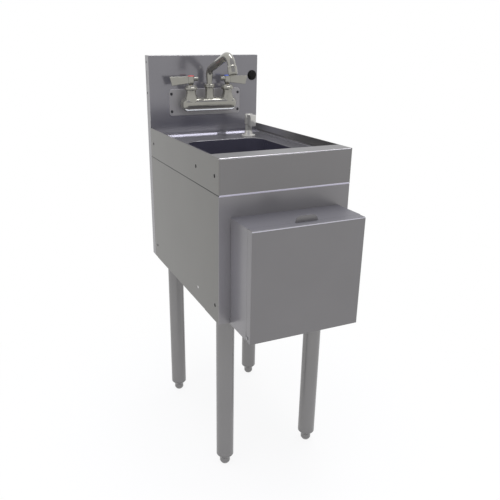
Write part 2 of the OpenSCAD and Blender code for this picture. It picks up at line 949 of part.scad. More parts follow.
module soap_bottle() {
    color("#c9c9c6") seat() translate([pump_x, pump_y, 0]) difference() {
        union() {
            rod(bottle_r, bottle_low, bottle_top - 18);
            translate([0, 0, bottle_top - 18])
                cylinder(r1 = bottle_r, r2 = thread_r + 3, h = 8);
            rod(thread_r + 3, bottle_top - 10, bottle_top);
        }
        rod(bottle_r - 2, bottle_low + 2, bottle_top - 19);
        translate([0, 0, bottle_top - 19.1])
            cylinder(r1 = bottle_r - 2, r2 = thread_r, h = 9.1);
        rod(thread_r, bottle_top - 11, bottle_top + eps);
    }
}

module drain_body() {
    color("#a5a4a2") seat() translate([0, bowl_mid, 0]) {
        difference() {
            union() {
                rod(30, bowl_floor, bowl_floor + 2);
                rod(drain_r, drain_low, bowl_floor);
            }
            rod(tail_r, drain_low - eps, bowl_floor - 3);
            translate([0, 0, bowl_floor - 4]) for (i = [0:5]) rotate([0, 0, i * 60])
                translate([11, 0, 0]) rod(4, 0, 10);
            rod(4, bowl_floor - 4, bowl_floor + 5);
        }
    }
}

module drain_gasket() {
    color("#2c2c2e") seat() translate([0, bowl_mid, 0])
        pipe(29, drain_r, bowl_floor - sheet - 3, bowl_floor - sheet);
}

module drain_nut() {
    top = bowl_floor - sheet - 3;
    color("#b0a070") seat() translate([0, bowl_mid, 0]) difference() {
        translate([0, 0, top - 9]) cylinder(r = 31, h = 9, $fn = 6);
        rod(drain_r, top - 9 - eps, top + eps);
    }
}

module tailpiece() {
    color("#a5a4a2") seat() translate([0, bowl_mid, 0])
        difference() {
            pipe(tail_r, tail_r - 1.25, body_low + 16, bowl_floor - 20);
            pipe(tail_r + eps, tail_r - groove / 2, drain_low - 3, drain_low - 3 + groove);
        }
}

module towel_housing() {
    top_in = box_top - sheet;
    front = door_y + part_gap;
    color("#98979c") seat() {
        difference() {
            union() {
                box(-box_half_width, box_half_width, front, 0, top_in, box_top);
                both_sides() {
                    box(box_in, box_half_width, front, -1.5, box_low, box_top);
                    box(box_in, box_half_width, -1.5, 0, box_top - 16, box_top);
                }
                box(-box_in, box_in, -sheet, 0, box_low, top_in);
                box(-box_in, box_in, front, -sheet, box_low, box_low + sheet);
            }
            box(-95, 95, front + 12, front + 52, box_low - eps, box_low + sheet + eps);
            for (x = [-rivet_x, rivet_x], z = rivet_z) bar_y(screw_r, -sheet - eps, eps, x, z);
        }
        both_sides() difference() {
            union() {
                box(box_in - hinge_in, box_in, front, front + 24, box_low + sheet,
                    box_low + 28);
                box(box_in - hinge_in, box_in - part_gap, -box_depth + 4, front,
                    box_low + sheet + 0.6, box_low + 18);
            }
            bar_x(pin_r, box_in - hinge_in - eps, box_in + eps, pin_y, pin_z);
        }
    }
}

module towel_door() {
    top_in = box_top - sheet;
    color("#9a9996") seat() difference() {
        union() {
            box(-box_half_width, box_half_width, -box_depth, -box_depth + sheet, box_low,
                box_top);
            box(-box_half_width, box_half_width, -box_depth, door_y, top_in, box_top);
            both_sides() box(box_in, box_half_width, -box_depth, door_y, box_low, box_top);
            along_y(door_y - sheet, door_y) {
                area(-tab_half, tab_half, top_in, box_top + tab_height - 12);
                area(-tab_half + 12, tab_half - 12, top_in, box_top + tab_height);
                quarter(-tab_half, box_top + tab_height, 1, -1, 12);
                quarter(tab_half, box_top + tab_height, -1, -1, 12);
            }
            both_sides() box(50, 90, door_y - sheet, door_y, box_top - 16, top_in);
        }
        both_sides() {
            bar_x(pin_r + pin_gap, box_in - eps, box_half_width + eps, pin_y, pin_z);
            along_x(box_in - eps, box_half_width + eps) difference() {
                area(pin_y, door_y + eps, box_low - eps, pin_z);
                translate([pin_y, pin_z]) circle(door_y - pin_y);
            }
            along_x(box_in - eps, box_half_width + eps)
                translate([-box_depth + 4, box_top - 2]) rotate(-45) area(0, 21, -0.3, 0.3);
        }
    }
}

module door_pins() {
    color("#d8d8d4") seat() both_sides() {
        bar_x(pin_r, box_in - hinge_in, box_half_width + 0.3, pin_y, pin_z);
        bar_x(pin_r + 1.4, box_half_width + 0.3, box_half_width + 1.1, pin_y, pin_z);
        bar_x(pin_r + 1.4, box_in - hinge_in - 1, box_in - hinge_in, pin_y, pin_z);
    }
}

module door_magnets() {
    color("#3a3a3e") seat() both_sides()
        box(52, 88, door_y + part_gap, door_y + 9, box_top - sheet - 8, box_top - sheet);
}

module housing_rivets() {
    color("#c9c8c0") seat() for (x = [-rivet_x, rivet_x], z = rivet_z) {
        bar_y(screw_r, -sheet, sheet, x, z);
        bar_y(4, -sheet - 1.2, -sheet, x, z);
        bar_y(3.4, sheet, sheet + 1.4, x, z);
    }
}

sink_top();
sink_bowl();
backsplash();
left_side_panel();
right_side_panel();
front_panel();
rear_rail();
front_leg_channel();
rear_leg_channel();
leg_sockets();
leg_front_left();
leg_front_right();
leg_rear_left();
leg_rear_right();
foot_inserts();
foot_front_left();
foot_front_right();
foot_rear_left();
foot_rear_right();
faucet_plate();
plate_screws();
backing_plate();
faucet_body();
supply_shanks();
shank_washers();
shank_nuts();
hot_cartridge();
cold_cartridge();
hot_bonnet_nut();
cold_bonnet_nut();
hot_stem();
cold_stem();
hot_handle();
cold_handle();
hot_index();
cold_index();
hot_handle_screw();
cold_handle_screw();
spout_nut();
spout_o_ring();
spout();
aerator();
hole_plug();
pump_collar();
pump_nut();
pump_stem();
pump_spring();
pump_head();
dip_tube();
soap_bottle();
drain_body();
drain_gasket();
drain_nut();
tailpiece();
towel_housing();
towel_door();
door_pins();
door_magnets();
housing_rivets();
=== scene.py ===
"""Looks of the underbar hand sink: pan, bowl, splash, cabinet, legs, faucet, pump, towel box.

Sizes are millimetres in the frame of the front panel: X across, Y back from the panel, Z up.
Materials, lamps and camera are in metres in the frame of the scene.
"""

import logging
import math
from collections.abc import Sequence
from dataclasses import dataclass, field
from enum import Enum

import bmesh
import bpy
import numpy as np
from numpy.typing import NDArray
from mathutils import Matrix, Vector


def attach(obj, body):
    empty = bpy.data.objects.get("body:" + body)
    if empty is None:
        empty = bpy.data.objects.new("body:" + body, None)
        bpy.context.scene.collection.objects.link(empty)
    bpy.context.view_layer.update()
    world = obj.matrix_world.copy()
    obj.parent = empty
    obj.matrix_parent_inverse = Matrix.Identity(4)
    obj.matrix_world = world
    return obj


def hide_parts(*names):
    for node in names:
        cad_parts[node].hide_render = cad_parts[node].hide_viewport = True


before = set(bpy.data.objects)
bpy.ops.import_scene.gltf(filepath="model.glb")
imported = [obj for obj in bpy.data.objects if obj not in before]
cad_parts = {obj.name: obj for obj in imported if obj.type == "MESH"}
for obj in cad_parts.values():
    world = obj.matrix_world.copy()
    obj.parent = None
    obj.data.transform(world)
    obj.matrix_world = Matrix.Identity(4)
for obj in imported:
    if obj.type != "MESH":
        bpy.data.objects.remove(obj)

Array = NDArray[np.float64]
Colour = tuple[float, float, float]
Point = tuple[float, float, float]
Corner = tuple[float, float, float]
Node = bpy.types.Node
Socket = bpy.types.NodeSocket
Inputs = dict[str | int, Socket | float | Sequence[float]]

log = logging.getLogger("sink")

MM = 0.001
SEAT = np.array([0.0, -193.5, 0.0])
SHEET = 1.2
RIM = 765.0
DECK = 743.0
SPLASH_FACE = 458.5
BOWL_HALF_X, BOWL_HALF_Y, BOWL_CORNER = 101.6, 139.5, 38.0
BOWL_Y = 203.5
FAUCET_Y = 427.5
QUARTER = 0.5 * np.pi
SWEEP_SIDES = 40
UP: Point = (0.0, 0.0, 1.0)
BACK: Point = (0.0, 1.0, 0.0)


# ---------------- shapes


@dataclass
class Skin:
    """Grid of points that is joined into four-sided faces.

    Attributes:
        points: Rows by columns by 3, in millimetres.
        ring: The last column joins the first.
        loop: The last row joins the first.
        ends: The first and the last row are closed with a flat face.
    """

    points: Array
    ring: bool = True
    loop: bool = False
    ends: bool = False

    def polygons(self, start: int) -> list[list[int]]:
        """Lists the faces by point number.

        Face (i, k) joins the points (i, k), (i, k + 1), (i + 1, k + 1) and (i + 1, k).

        Args:
            start: Number of the first point of this grid in the mesh.

        Returns:
            The point numbers of each face.
        """
        rows, cols = self.points.shape[:2]
        index = start + np.arange(rows * cols).reshape(rows, cols)
        if self.loop:
            index = np.vstack([index, index[:1]])
        if self.ring:
            index = np.hstack([index, index[:, :1]])
        quads = np.stack(
            [index[:-1, :-1], index[:-1, 1:], index[1:, 1:], index[1:, :-1]], axis=-1
        ).reshape(-1, 4)
        caps = [index[0, :cols].tolist(), index[-1, :cols].tolist()] if self.ends else []
        return quads.tolist() + caps


def joined(*parts: Array | float) -> Array:
    """Points from their coordinates; a number stands for the same value everywhere."""
    return np.stack(np.broadcast_arrays(*parts), axis=-1)


def rounded(corners: Sequence[Corner], steps: int, closed: bool = False) -> Array:
    """Rounds the corners of a flat line.

    Each corner is replaced by the arc that touches both of its sides: its centre lies
    radius / sin(half angle) from the corner on the bisector.

    Args:
        corners: The two coordinates of each corner and its radius; 0 keeps it sharp.
        steps: Parts of each arc.
        closed: The line comes back to its first corner.

    Returns:
        Points of the rounded line.
    """
    line, sizes = np.split(np.asarray(corners, float), [2], axis=1)
    count = len(line)
    parts: list[Array] = []
    for i, radius in enumerate(sizes[:, 0]):
        here = line[i]
        if radius <= 0 or (not closed and i in (0, count - 1)):
            parts.append(here[None])
            continue
        before = line[i - 1] - here
        after = line[(i + 1) % count] - here
        before /= np.linalg.norm(before)
        after /= np.linalg.norm(after)
        half = 0.5 * math.acos(float(np.clip(before @ after, -1, 1)))
        bisector = (before + after) / np.linalg.norm(before + after)
        centre = here + bisector * radius / math.sin(half)
        first = here + before * radius / math.tan(half) - centre
        turn = (math.pi - 2 * half) * np.sign(before[1] * after[0] - before[0] * after[1])
        angles = turn * np.linspace(0, 1, steps + 1)
        cos, sin = np.cos(angles), np.sin(angles)
        parts.append(centre + joined(cos * first[0] - sin * first[1],
                                     sin * first[0] + cos * first[1]))
    return np.concatenate(parts)


def lathe(profile: Array, origin: Point, axis: Point = UP, sides: int = 56,
          loop: bool = False) -> Skin:
    """Turns a profile round an axis.

    Point (i, k) = origin + height_i * axis + radius_i * (cos a_k * u + sin a_k * v), where
    a_k = 360 k / sides and u, v are square to the axis.

    Args:
        profile: Pairs of radius and height along the axis.
        origin: Point on the axis where the height is zero.
        axis: Direction of the axis.
        sides: Points around.
        loop: The profile is a closed line, as for a tube.

    Returns:
        The turned grid.
    """
    along = np.asarray(axis, float)
    along = along / np.linalg.norm(along)
    helper = np.array([1.0, 0, 0]) if abs(along[0]) < 0.9 else np.array([0, 1.0, 0])
    v = np.cross(along, helper)
    v /= np.linalg.norm(v)
    u = np.cross(v, along)
    angle = np.linspace(0, 2 * np.pi, sides, endpoint=False)
    around = np.cos(angle)[:, None] * u + np.sin(angle)[:, None] * v
    points = (np.asarray(origin, float) + profile[:, None, 1:2] * along
              + profile[:, None, 0:1] * around[None])
    return Skin(points, loop=loop)


def turned(corners: Sequence[Corner], steps: int, origin: Point, axis: Point = UP,
           sides: int = 56, closed: bool = False) -> Skin:
    """Turns a rounded line, given as radius, height and rounding, round an axis."""
    return lathe(rounded(corners, steps, closed), origin, axis, sides, closed)


def sweep(path: Array, radii: Array) -> Skin:
    """Carries a circle along a path that lies in an upright plane X = constant.

    Point (i, k) = path_i + radius_i * (cos a_k * X + sin a_k * N_i), where N_i is X crossed
    with the heading of the path at i.

    Args:
        path: Points of the centre line.
        radii: Radius at each point; 0 at an end closes it.

    Returns:
        The swept grid.
    """
    heading = np.gradient(path, axis=0)
    size = np.linalg.norm(heading, axis=1, keepdims=True)
    heading = heading / np.where(size > 0, size, 1)
    side = np.array([1.0, 0, 0])
    normal = np.cross(side, heading)
    angle = np.linspace(0, 2 * np.pi, SWEEP_SIDES, endpoint=False)
    ring = (np.cos(angle)[None, :, None] * side
            + np.sin(angle)[None, :, None] * normal[:, None, :])
    return Skin(path[:, None, :] + radii[:, None, None] * ring)


def raised(flat: Array, high: Array | float) -> Array:
    """Adds the height to flat outlines: (x, y) of row i becomes (x, y, high_i)."""
    return joined(flat[..., 0], flat[..., 1], np.reshape(high, (-1, 1)))


def around(corners: Array, per_side: int) -> Array:
    """Points round a polygon: on each side, near + t * (far - near) in even steps of t."""
    t = np.linspace(0, 1, per_side, endpoint=False)[:, None]
    return np.concatenate([near + t * (far - near)
                           for near, far in zip(corners, np.roll(corners, -1, axis=0))])


def round_rectangle(half_x: Array | float, half_y: Array | float, radius: Array | float,
                    per_corner: int) -> Array:
    """Outline of a rectangle with round corners, middle at zero.

    Point (q, k) of corner q = signs_q * (half - radius) + radius * (cos a, sin a), with a
    running through the quarter turn q. Rows of sizes give rows of outlines.

    Args:
        half_x: Half width, or one for each row.
        half_y: Half length, or one for each row.
        radius: Corner radius, or one for each row.
        per_corner: Parts of each corner.

    Returns:
        Rows by points by 2.
    """
    hx, hy, r = (np.atleast_1d(np.asarray(v, float))[:, None, None]
                 for v in (half_x, half_y, radius))
    angle = np.arange(4)[:, None] * QUARTER + np.linspace(0, QUARTER, per_corner + 1)[None]
    sign_x = np.array([1.0, -1, -1, 1])[:, None]
    sign_y = np.array([1.0, 1, -1, -1])[:, None]
    x = sign_x * (hx - r) + r * np.cos(angle)
    y = sign_y * (hy - r) + r * np.sin(angle)
    return joined(x, y).reshape(x.shape[0], -1, 2)


@dataclass
class BentSheet:
    """Sheet bent into a box that lacks some of its sides.

    A point q of the sharp box moves to m + r * (q - m) / |q - m|, where m is q clipped to the
    box drawn in by the bend radius r. The inner side is the same with the box drawn in by
    the sheet. Sides that are left out leave open edges, which get a rim.

    Attributes:
        low: Lowest corner.
        high: Highest corner.
        radius: Outer bend radius.
        sides: Sides that are there, as (axis, 0 for low or 1 for high).
        steps: Parts of half a bend.
        spans: Parts of the flat middle.
    """

    low: Point
    high: Point
    radius: float
    sides: set[tuple[int, int]]
    steps: int = 4
    spans: int = 9

    def _line(self, axis: int, inset: float) -> Array:
        """Places of the grid lines on one axis, dense in the bends: r - r * tan(angle).

        Args:
            axis: 0, 1 or 2.
            inset: Distance that the box is drawn in.

        Returns:
            The places.
        """
        low, high = self.low[axis], self.high[axis]
        radius = self.radius - inset
        bend = radius - radius * np.tan(np.linspace(0.5 * QUARTER, 0, self.steps + 1))
        start = (low + inset + bend if (axis, 0) in self.sides
                 else np.full(self.steps + 1, low))
        stop = (high - inset - bend[::-1] if (axis, 1) in self.sides
                else np.full(self.steps + 1, high))
        middle = np.linspace(start[-1], stop[0], self.spans + 1)[1:-1]
        return np.concatenate([start, middle, stop])

    def _face(self, axis: int, end: int, inset: float) -> Array:
        """Grid of one side.

        Args:
            axis: Axis that the side is square to.
            end: 0 for the low side and 1 for the high one.
            inset: Distance that the box is drawn in.

        Returns:
            Its points.
        """
        radius = self.radius - inset
        low = np.array(self.low) + inset + radius
        high = np.array(self.high) - inset - radius
        for a in range(3):
            low[a] = low[a] if (a, 0) in self.sides else -np.inf
            high[a] = high[a] if (a, 1) in self.sides else np.inf
        first, second = [a for a in range(3) if a != axis]
        u, v = self._line(first, inset), self._line(second, inset)
        sharp = np.zeros((len(u), len(v), 3))
        sharp[..., first] = u[:, None]
        sharp[..., second] = v[None, :]
        sharp[..., axis] = self.high[axis] - inset if end else self.low[axis] + inset
        middle = np.clip(sharp, low, high)
        away = sharp - middle
        return middle + radius * away / np.linalg.norm(away, axis=-1, keepdims=True)

    def skins(self) -> list[Skin]:
        """Outer and inner grids of all sides, and the rims of the open edges.

        Returns:
            The grids of the closed sheet.
        """
        result: list[Skin] = []
        for axis, end in sorted(self.sides):
            outer, inner = self._face(axis, end, 0.0), self._face(axis, end, SHEET)
            result += [Skin(outer, ring=False), Skin(inner, ring=False)]
            first, second = [a for a in range(3) if a != axis]
            for other, edge in ((first, 0), (first, 1), (second, 0), (second, 1)):
                if (other, edge) in self.sides:
                    continue
                pick = (0, -1)[edge]
                rows = ((outer[pick], inner[pick]) if other == first
                        else (outer[:, pick], inner[:, pick]))
                result.append(Skin(np.stack(rows), ring=False))
        return result


@dataclass
class HoledPlate:
    """Upright plate across X, made of cells in a row along Y with a round hole each.

    With R a point on the edge of a cell and C the hole's middle, the face runs from R to
    C + radius * unit(R - C), through the hole to the other side, and back to R.

    Attributes:
        edges: Y of the cells' edges.
        holes: Y of the holes, one in each cell.
        hole_z: Height of the holes.
        radius: Radius of the holes.
        low: Lower edge.
        high: Upper edge.
        per_side: Points on each edge of a cell.
    """

    edges: Sequence[float]
    holes: Sequence[float]
    hole_z: float
    radius: float
    low: float
    high: float
    per_side: int = 10

    def skins(self, near: float, far: float) -> list[Skin]:
        """Grids of the plate between two places on X.

        Args:
            near: X of the first face.
            far: X of the second face.

        Returns:
            The grids, without the edges where cells meet.
        """
        result: list[Skin] = []
        x = np.array([near, near, far, far])
        low_side, rear, high_side, front = [
            slice(k * self.per_side, (k + 1) * self.per_side + 1) for k in range(4)]
        for y0, y1, hole_y in zip(self.edges, self.edges[1:], self.holes):
            edge = around(np.array([[y0, self.low], [y1, self.low], [y1, self.high],
                                    [y0, self.high]]), self.per_side)
            centre = np.array([hole_y, self.hole_z])
            away = edge - centre
            hole = centre + self.radius * away / np.linalg.norm(away, axis=1, keepdims=True)
            y, z = np.moveaxis(np.stack([edge, hole, hole, edge]), -1, 0)
            points = joined(x[:, None], y, z)
            result.append(Skin(points))
            rim = points[[0, 3]]
            closed = np.concatenate([rim, rim[:, :1]], axis=1)
            spans = [low_side, high_side]
            spans += [rear] if y1 == self.edges[-1] else []
            spans += [front] if y0 == self.edges[0] else []
            result += [Skin(closed[:, span], ring=False) for span in spans]
        return result


# ---------------- finishes


class Graph:
    """Nodes of a material or of the world, with short calls that add and join them."""

    def __init__(self, owner: bpy.types.Material | bpy.types.World) -> None:
        """Opens the nodes of their owner."""
        owner.use_nodes = True
        self.tree = owner.node_tree

    def fill(self, node: Node, values: Inputs) -> Node:
        """Fills inputs of a node: a socket is linked, and a number or a colour is set.

        Args:
            node: The node.
            values: Value of each input, by its name or number.

        Returns:
            The same node.
        """
        for key, value in values.items():
            target = node.inputs[key]
            if isinstance(value, Socket):
                self.tree.links.new(value, target)
            else:
                target.default_value = (*value, 1.0) if target.type == "RGBA" else value
        return node

    def add(self, kind: str, values: Inputs, operation: str = "") -> Node:
        """Adds a node.

        Args:
            kind: Type of the node.
            values: Values of its inputs.
            operation: What it works out, where its type leaves that open.

        Returns:
            The node.
        """
        node = self.tree.nodes.new(kind)
        if operation:
            node.operation = operation
        return self.fill(node, values)

    def math(self, operation: str, *values: Socket | float) -> Socket:
        """Result of a calculation."""
        return self.add("ShaderNodeMath", dict(enumerate(values)), operation).outputs[0]

    def place(self) -> Socket:
        """Place on the object, in the object's own coordinates."""
        return self.add("ShaderNodeTexCoord", {}).outputs["Object"]

    def noise(self, stretch: Point, detail: float) -> Socket:
        """Noise from 0 to 1 with so many cells in a metre on X, Y and Z, and finer layers."""
        turn = self.add("ShaderNodeMapping", {"Vector": self.place(), "Scale": stretch})
        return self.add("ShaderNodeTexNoise", {"Vector": turn.outputs["Vector"],
                                               "Scale": 1.0, "Detail": detail}).outputs["Fac"]

    def remap(self, value: Socket, source: tuple[float, float],
              result: tuple[float, float], smooth: bool = False) -> Socket:
        """Carries a value from one range to another and holds it at the ends.

        Args:
            value: The value.
            source: Range that it comes from.
            result: Range that it goes to.
            smooth: The way between is an S instead of a straight line.

        Returns:
            The carried value.
        """
        node = self.add("ShaderNodeMapRange", {
            "Value": value, "From Min": source[0], "From Max": source[1],
            "To Min": result[0], "To Max": result[1]})
        node.interpolation_type = "SMOOTHSTEP" if smooth else "LINEAR"
        return node.outputs["Result"]

    def blend(self, factor: Socket, low: Colour | Socket, high: Colour) -> Socket:
        """Mixes two colours.

        Args:
            factor: 0 gives low and 1 gives high.
            low: First colour.
            high: Second colour.

        Returns:
            The mixed colour.
        """
        mix = self.tree.nodes.new("ShaderNodeMix")
        mix.data_type = "RGBA"
        return self.fill(mix, {0: factor, 6: low, 7: high}).outputs[2]


class Surface(Graph):
    """Material with a shader whose colour, sheen and relief follow noises."""

    CORE = (0.3, 0.7)

    def __init__(self, name: str) -> None:
        """Starts the material.

        Args:
            name: Its name.
        """
        self.material = bpy.data.materials.new(name)
        super().__init__(self.material)
        self.shader = self.tree.nodes["Principled BSDF"]

    def coat(self, tone: Socket, colour: Colour, shares: tuple[float, float], sheen: Socket,
             roughness: tuple[float, float]) -> None:
        """Lets the middle of a noise move the colour, and that of another the roughness.

        Args:
            tone: Noise of the colour.
            colour: The colour.
            shares: Its darkest and its lightest share.
            sheen: Noise of the roughness.
            roughness: Lowest and highest roughness.
        """
        dark, light = (tuple(share * v for v in colour) for share in shares)
        factor = self.remap(tone, self.CORE, (0.0, 1.0))
        self.fill(self.shader, {"Base Color": self.blend(factor, dark, light),
                                "Roughness": self.remap(sheen, self.CORE, roughness)})

    def emboss(self, height: Socket, depth: float, strength: float) -> None:
        """Gives the shader a relief.

        Args:
            height: Height from 0 to 1.
            depth: Depth of the relief in metres.
            strength: Share of the relief that is used.
        """
        bump = self.add("ShaderNodeBump", {"Strength": strength, "Distance": depth,
                                           "Height": height})
        self.fill(self.shader, {"Normal": bump.outputs["Normal"]})


class Grain(Enum):
    """Axis that the brushed lines run along; the value gives noise cells in a metre."""

    ALONG_X = (14.0, 1500.0, 1500.0)
    ALONG_Z = (1500.0, 1500.0, 14.0)
    NONE = (700.0, 700.0, 700.0)


@dataclass(frozen=True)
class PaintedLightLine:
    """Line along one height painted with a colour of its own: a painted highlight along a
    bend, or painted shade in a seam or on a face.

    Attributes:
        height: Height of its middle.
        width: Half of its width.
        tone: Its painted colour: light for a painted highlight, dark for painted shade.
        roughness: Its roughness.
        front: It is drawn where Y is less than this.
        back: It is drawn where Y is more than this.
    """

    height: float
    width: float
    tone: Colour
    roughness: float = 0.3
    front: float = 10.0
    back: float = -10.0

    def draw(self, surface: Surface) -> None:
        """Paints the highlight or shade line where |z - height| is under the width and back <
        y < front.

        Args:
            surface: Material with its colour and roughness already linked.
        """
        place = surface.add("ShaderNodeSeparateXYZ", {0: surface.place()}).outputs
        level = surface.math("COMPARE", place["Z"], self.height, self.width)
        depth = surface.math("COMPARE", place["Y"], 0.5 * (self.front + self.back),
                             0.5 * (self.front - self.back))
        both = surface.math("MULTIPLY", level, depth)
        colour, sheen = (surface.shader.inputs[name].links[0].from_socket
                         for name in ("Base Color", "Roughness"))
        mix = surface.add("ShaderNodeMix", {0: both, 2: sheen, 3: self.roughness})
        surface.fill(surface.shader, {"Base Color": surface.blend(both, colour, self.tone),
                                      "Roughness": mix.outputs[0]})


@dataclass(frozen=True)
class BrushedSteel:
    """Stainless sheet with fine brushed lines, soft clouds in its tone, and lines of painted
    highlight and painted shade along its edges.
    """

    name: str
    colour: Colour
    roughness: float = 0.3
    grain: Grain = Grain.ALONG_Z
    cloud: float = 0.025
    relief: float = 0.00002
    metal: float = 0.65
    edge: float = 1.0
    edges: tuple[PaintedLightLine, ...] = ()
    clouds_per_metre: float = 7.0
    uneven: float = 0.015
    bite: float = 0.02

    def material(self) -> bpy.types.Material:
        """Builds the material.

        Returns:
            The material.
        """
        surface = Surface(self.name)
        surface.fill(surface.shader, {"Metallic": self.metal,
                                      "Specular Tint": (self.edge,) * 3})
        lines = surface.noise(self.grain.value, 3.0)
        clouds = surface.noise((self.clouds_per_metre,) * 3, 3.0)
        surface.coat(clouds, self.colour, (1 - self.cloud, 1 + self.cloud), lines,
                     (self.roughness - self.uneven, self.roughness + self.uneven))
        surface.emboss(lines, self.relief, self.bite)
        # paint the highlight and shade lines over the colour and roughness
        for line in self.edges:
            line.draw(surface)
        return surface.material


@dataclass(frozen=True)
class Chrome:
    """Plated brass: mirror-like, faintly wavy, with dull finger marks."""

    name: str
    colour: Colour
    roughness: float = 0.06
    metal: float = 0.6
    wave: float = 0.00004
    waves_per_metre: float = 90.0
    marks_per_metre: float = 60.0
    uneven: float = 0.06
    shares: tuple[float, float] = (0.95, 1.04)
    bite: float = 0.4

    def material(self) -> bpy.types.Material:
        """Builds the material.

        Returns:
            The material.
        """
        surface = Surface(self.name)
        surface.fill(surface.shader, {"Metallic": self.metal})
        marks = surface.noise((self.marks_per_metre,) * 3, 4.0)
        surface.coat(marks, self.colour, self.shares, marks,
                     (self.roughness, self.roughness + self.uneven))
        surface.emboss(surface.noise((self.waves_per_metre,) * 3, 1.0), self.wave,
                       self.bite)
        return surface.material


@dataclass(frozen=True)
class Moulded:
    """Moulded plastic or rubber: fine grain, uneven sheen, faint colour change."""

    name: str
    colour: Colour
    roughness: float = 0.35
    coat: float = 0.0
    grain: float = 900.0
    relief: float = 0.00003
    specular: float = 0.5
    patches_per_metre: float = 45.0
    shares: tuple[float, float] = (0.88, 1.1)
    uneven: tuple[float, float] = (0.06, 0.08)
    bite: float = 0.3

    def material(self) -> bpy.types.Material:
        """Builds the material.

        Returns:
            The material.
        """
        surface = Surface(self.name)
        surface.fill(surface.shader, {"Coat Weight": self.coat, "Coat Roughness": 0.08,
                                      "Specular IOR Level": self.specular})
        tone = surface.noise((self.patches_per_metre,) * 3, 2.0)
        less, more = self.uneven
        surface.coat(tone, self.colour, self.shares, tone,
                     (self.roughness - less, self.roughness + more))
        surface.emboss(surface.noise((self.grain,) * 3, 2.0), self.relief, self.bite)
        return surface.material


Finish = BrushedSteel | Chrome | Moulded


class Finishes:
    """All finishes of the sink, each built once."""

    TOP = BrushedSteel(
        "top steel", (0.19, 0.185, 0.182), 0.085, Grain.ALONG_X, edge=0.6, edges=(
            # painted light: the deck, its lip and the foot of its coves are painted lighter,
            # in place of light they reflect
            PaintedLightLine(0.7436, 0.0014, (0.27, 0.265, 0.275), 0.085, back=-0.18),
            # painted sheen: the flat top of the rim is painted lighter and rougher
            PaintedLightLine(0.765, 0.0002, (0.25, 0.247, 0.245), 0.42),
            # painted highlight: near-white line along the front bend of the rim
            PaintedLightLine(0.7642, 0.0004, (0.95, 0.93, 0.95), 0.3, -0.1914),
            # painted reflection: bright band on the deck strip in front of the rear bend
            PaintedLightLine(0.7437, 0.0011, (0.5, 0.49, 0.52), 0.1, back=0.2335),
            # painted reflected light: lighter bluish strip on the rear bend and the foot
            # under the upstand
            PaintedLightLine(0.7486, 0.003, (0.24, 0.235, 0.26), 0.085, back=0.255),
            # painted highlight: bright line along the lower edge of the apron
            PaintedLightLine(0.6909, 0.0011, (0.62, 0.6, 0.68), 0.4, -0.19)))
    # painted shade: the bowl's steel is darker and bluer than the top, in place of bluish
    # shade in the bowl
    BOWL = BrushedSteel("bowl steel", (0.16, 0.155, 0.2), 0.22, Grain.ALONG_X, 0.06)
    SPLASH = BrushedSteel("splash steel", (0.198, 0.193, 0.196), 0.16, Grain.ALONG_X,
                          metal=0.5,
                          # painted shade: the top bend of the splash is painted dark and
                          # rough
                          edges=(PaintedLightLine(0.9515, 0.0021, (0.12, 0.117, 0.105), 1.0),))
    SIDE = BrushedSteel("side steel", (0.19, 0.186, 0.172), edge=0.8,
                        # painted shadow: near-black line in the seam between the side walls
                        # and the side panels
                        edges=(PaintedLightLine(0.6906, 0.0011, (0.012, 0.012, 0.012)),))
    PANEL = BrushedSteel("panel steel", (0.226, 0.219, 0.215), metal=0.35,
                         # painted highlight: bright line along the top edge of the front
                         # panel at the seam
                         edges=(PaintedLightLine(0.6894, 0.0007, (0.62, 0.6, 0.68), 0.4),))
    FRAME = BrushedSteel("frame steel", (0.16, 0.157, 0.155), 0.4, Grain.NONE)
    LEG = BrushedSteel("leg steel", (0.235, 0.23, 0.225), relief=0.000008)
    CHROME = Chrome("chrome", (0.3, 0.292, 0.255))
    # painted light: a lighter copy of the faucet chrome, brightened in place of light on the
    # pump
    PUMP = Chrome("pump chrome", (0.6, 0.59, 0.535), metal=0.4)
    SCREW = BrushedSteel("dark screw steel", (0.05, 0.05, 0.055), 0.25, Grain.NONE)
    PLATE = BrushedSteel("plate steel", (0.36, 0.35, 0.347), 0.4, Grain.ALONG_X, metal=0.4)
    BRASS = Chrome("machined brass", (0.52, 0.38, 0.16), 0.22)
    HARDWARE = BrushedSteel("hardware steel", (0.3, 0.3, 0.3), 0.3, Grain.NONE)
    DRAIN = BrushedSteel("drain steel", (0.3, 0.3, 0.31), 0.22, Grain.NONE)
    RUBBER = Moulded("rubber", (0.018, 0.018, 0.02), 0.6, grain=600.0, relief=0.00006)
    BLACK = Moulded("black plastic", (0.006, 0.006, 0.0055), 0.2, specular=0.14)
    RED = Moulded("red plastic", (0.55, 0.05, 0.05), 0.3, 0.5)
    BLUE = Moulded("blue plastic", (0.05, 0.12, 0.55), 0.3, 0.5)
    WHITE = Moulded("white plastic", (0.7, 0.7, 0.68), 0.4)
    TOWEL = BrushedSteel(
        "dispenser steel", (0.195, 0.189, 0.184), 0.25, Grain.ALONG_X, metal=0.35, edges=(
            # painted shade: the flat top of the door is painted darker and bluer
            PaintedLightLine(0.6445, 0.0002, (0.155, 0.152, 0.162), 0.5),
            # painted highlight: bright line along the front top bend of the door
            PaintedLightLine(0.643, 0.0007, (0.55, 0.54, 0.57), 0.3, -0.2911)))
    MAGNET = Moulded("magnet", (0.03, 0.03, 0.033), 0.5, grain=300.0, relief=0.00005)

    def __init__(self) -> None:
        """Starts with no material built."""
        self.made: dict[str, bpy.types.Material] = {}

    def get(self, finish: Finish) -> bpy.types.Material:
        """Material of a finish, built on first use.

        Args:
            finish: The finish.

        Returns:
            Its material.
        """
        if finish.name not in self.made:
            self.made[finish.name] = finish.material()
        return self.made[finish.name]


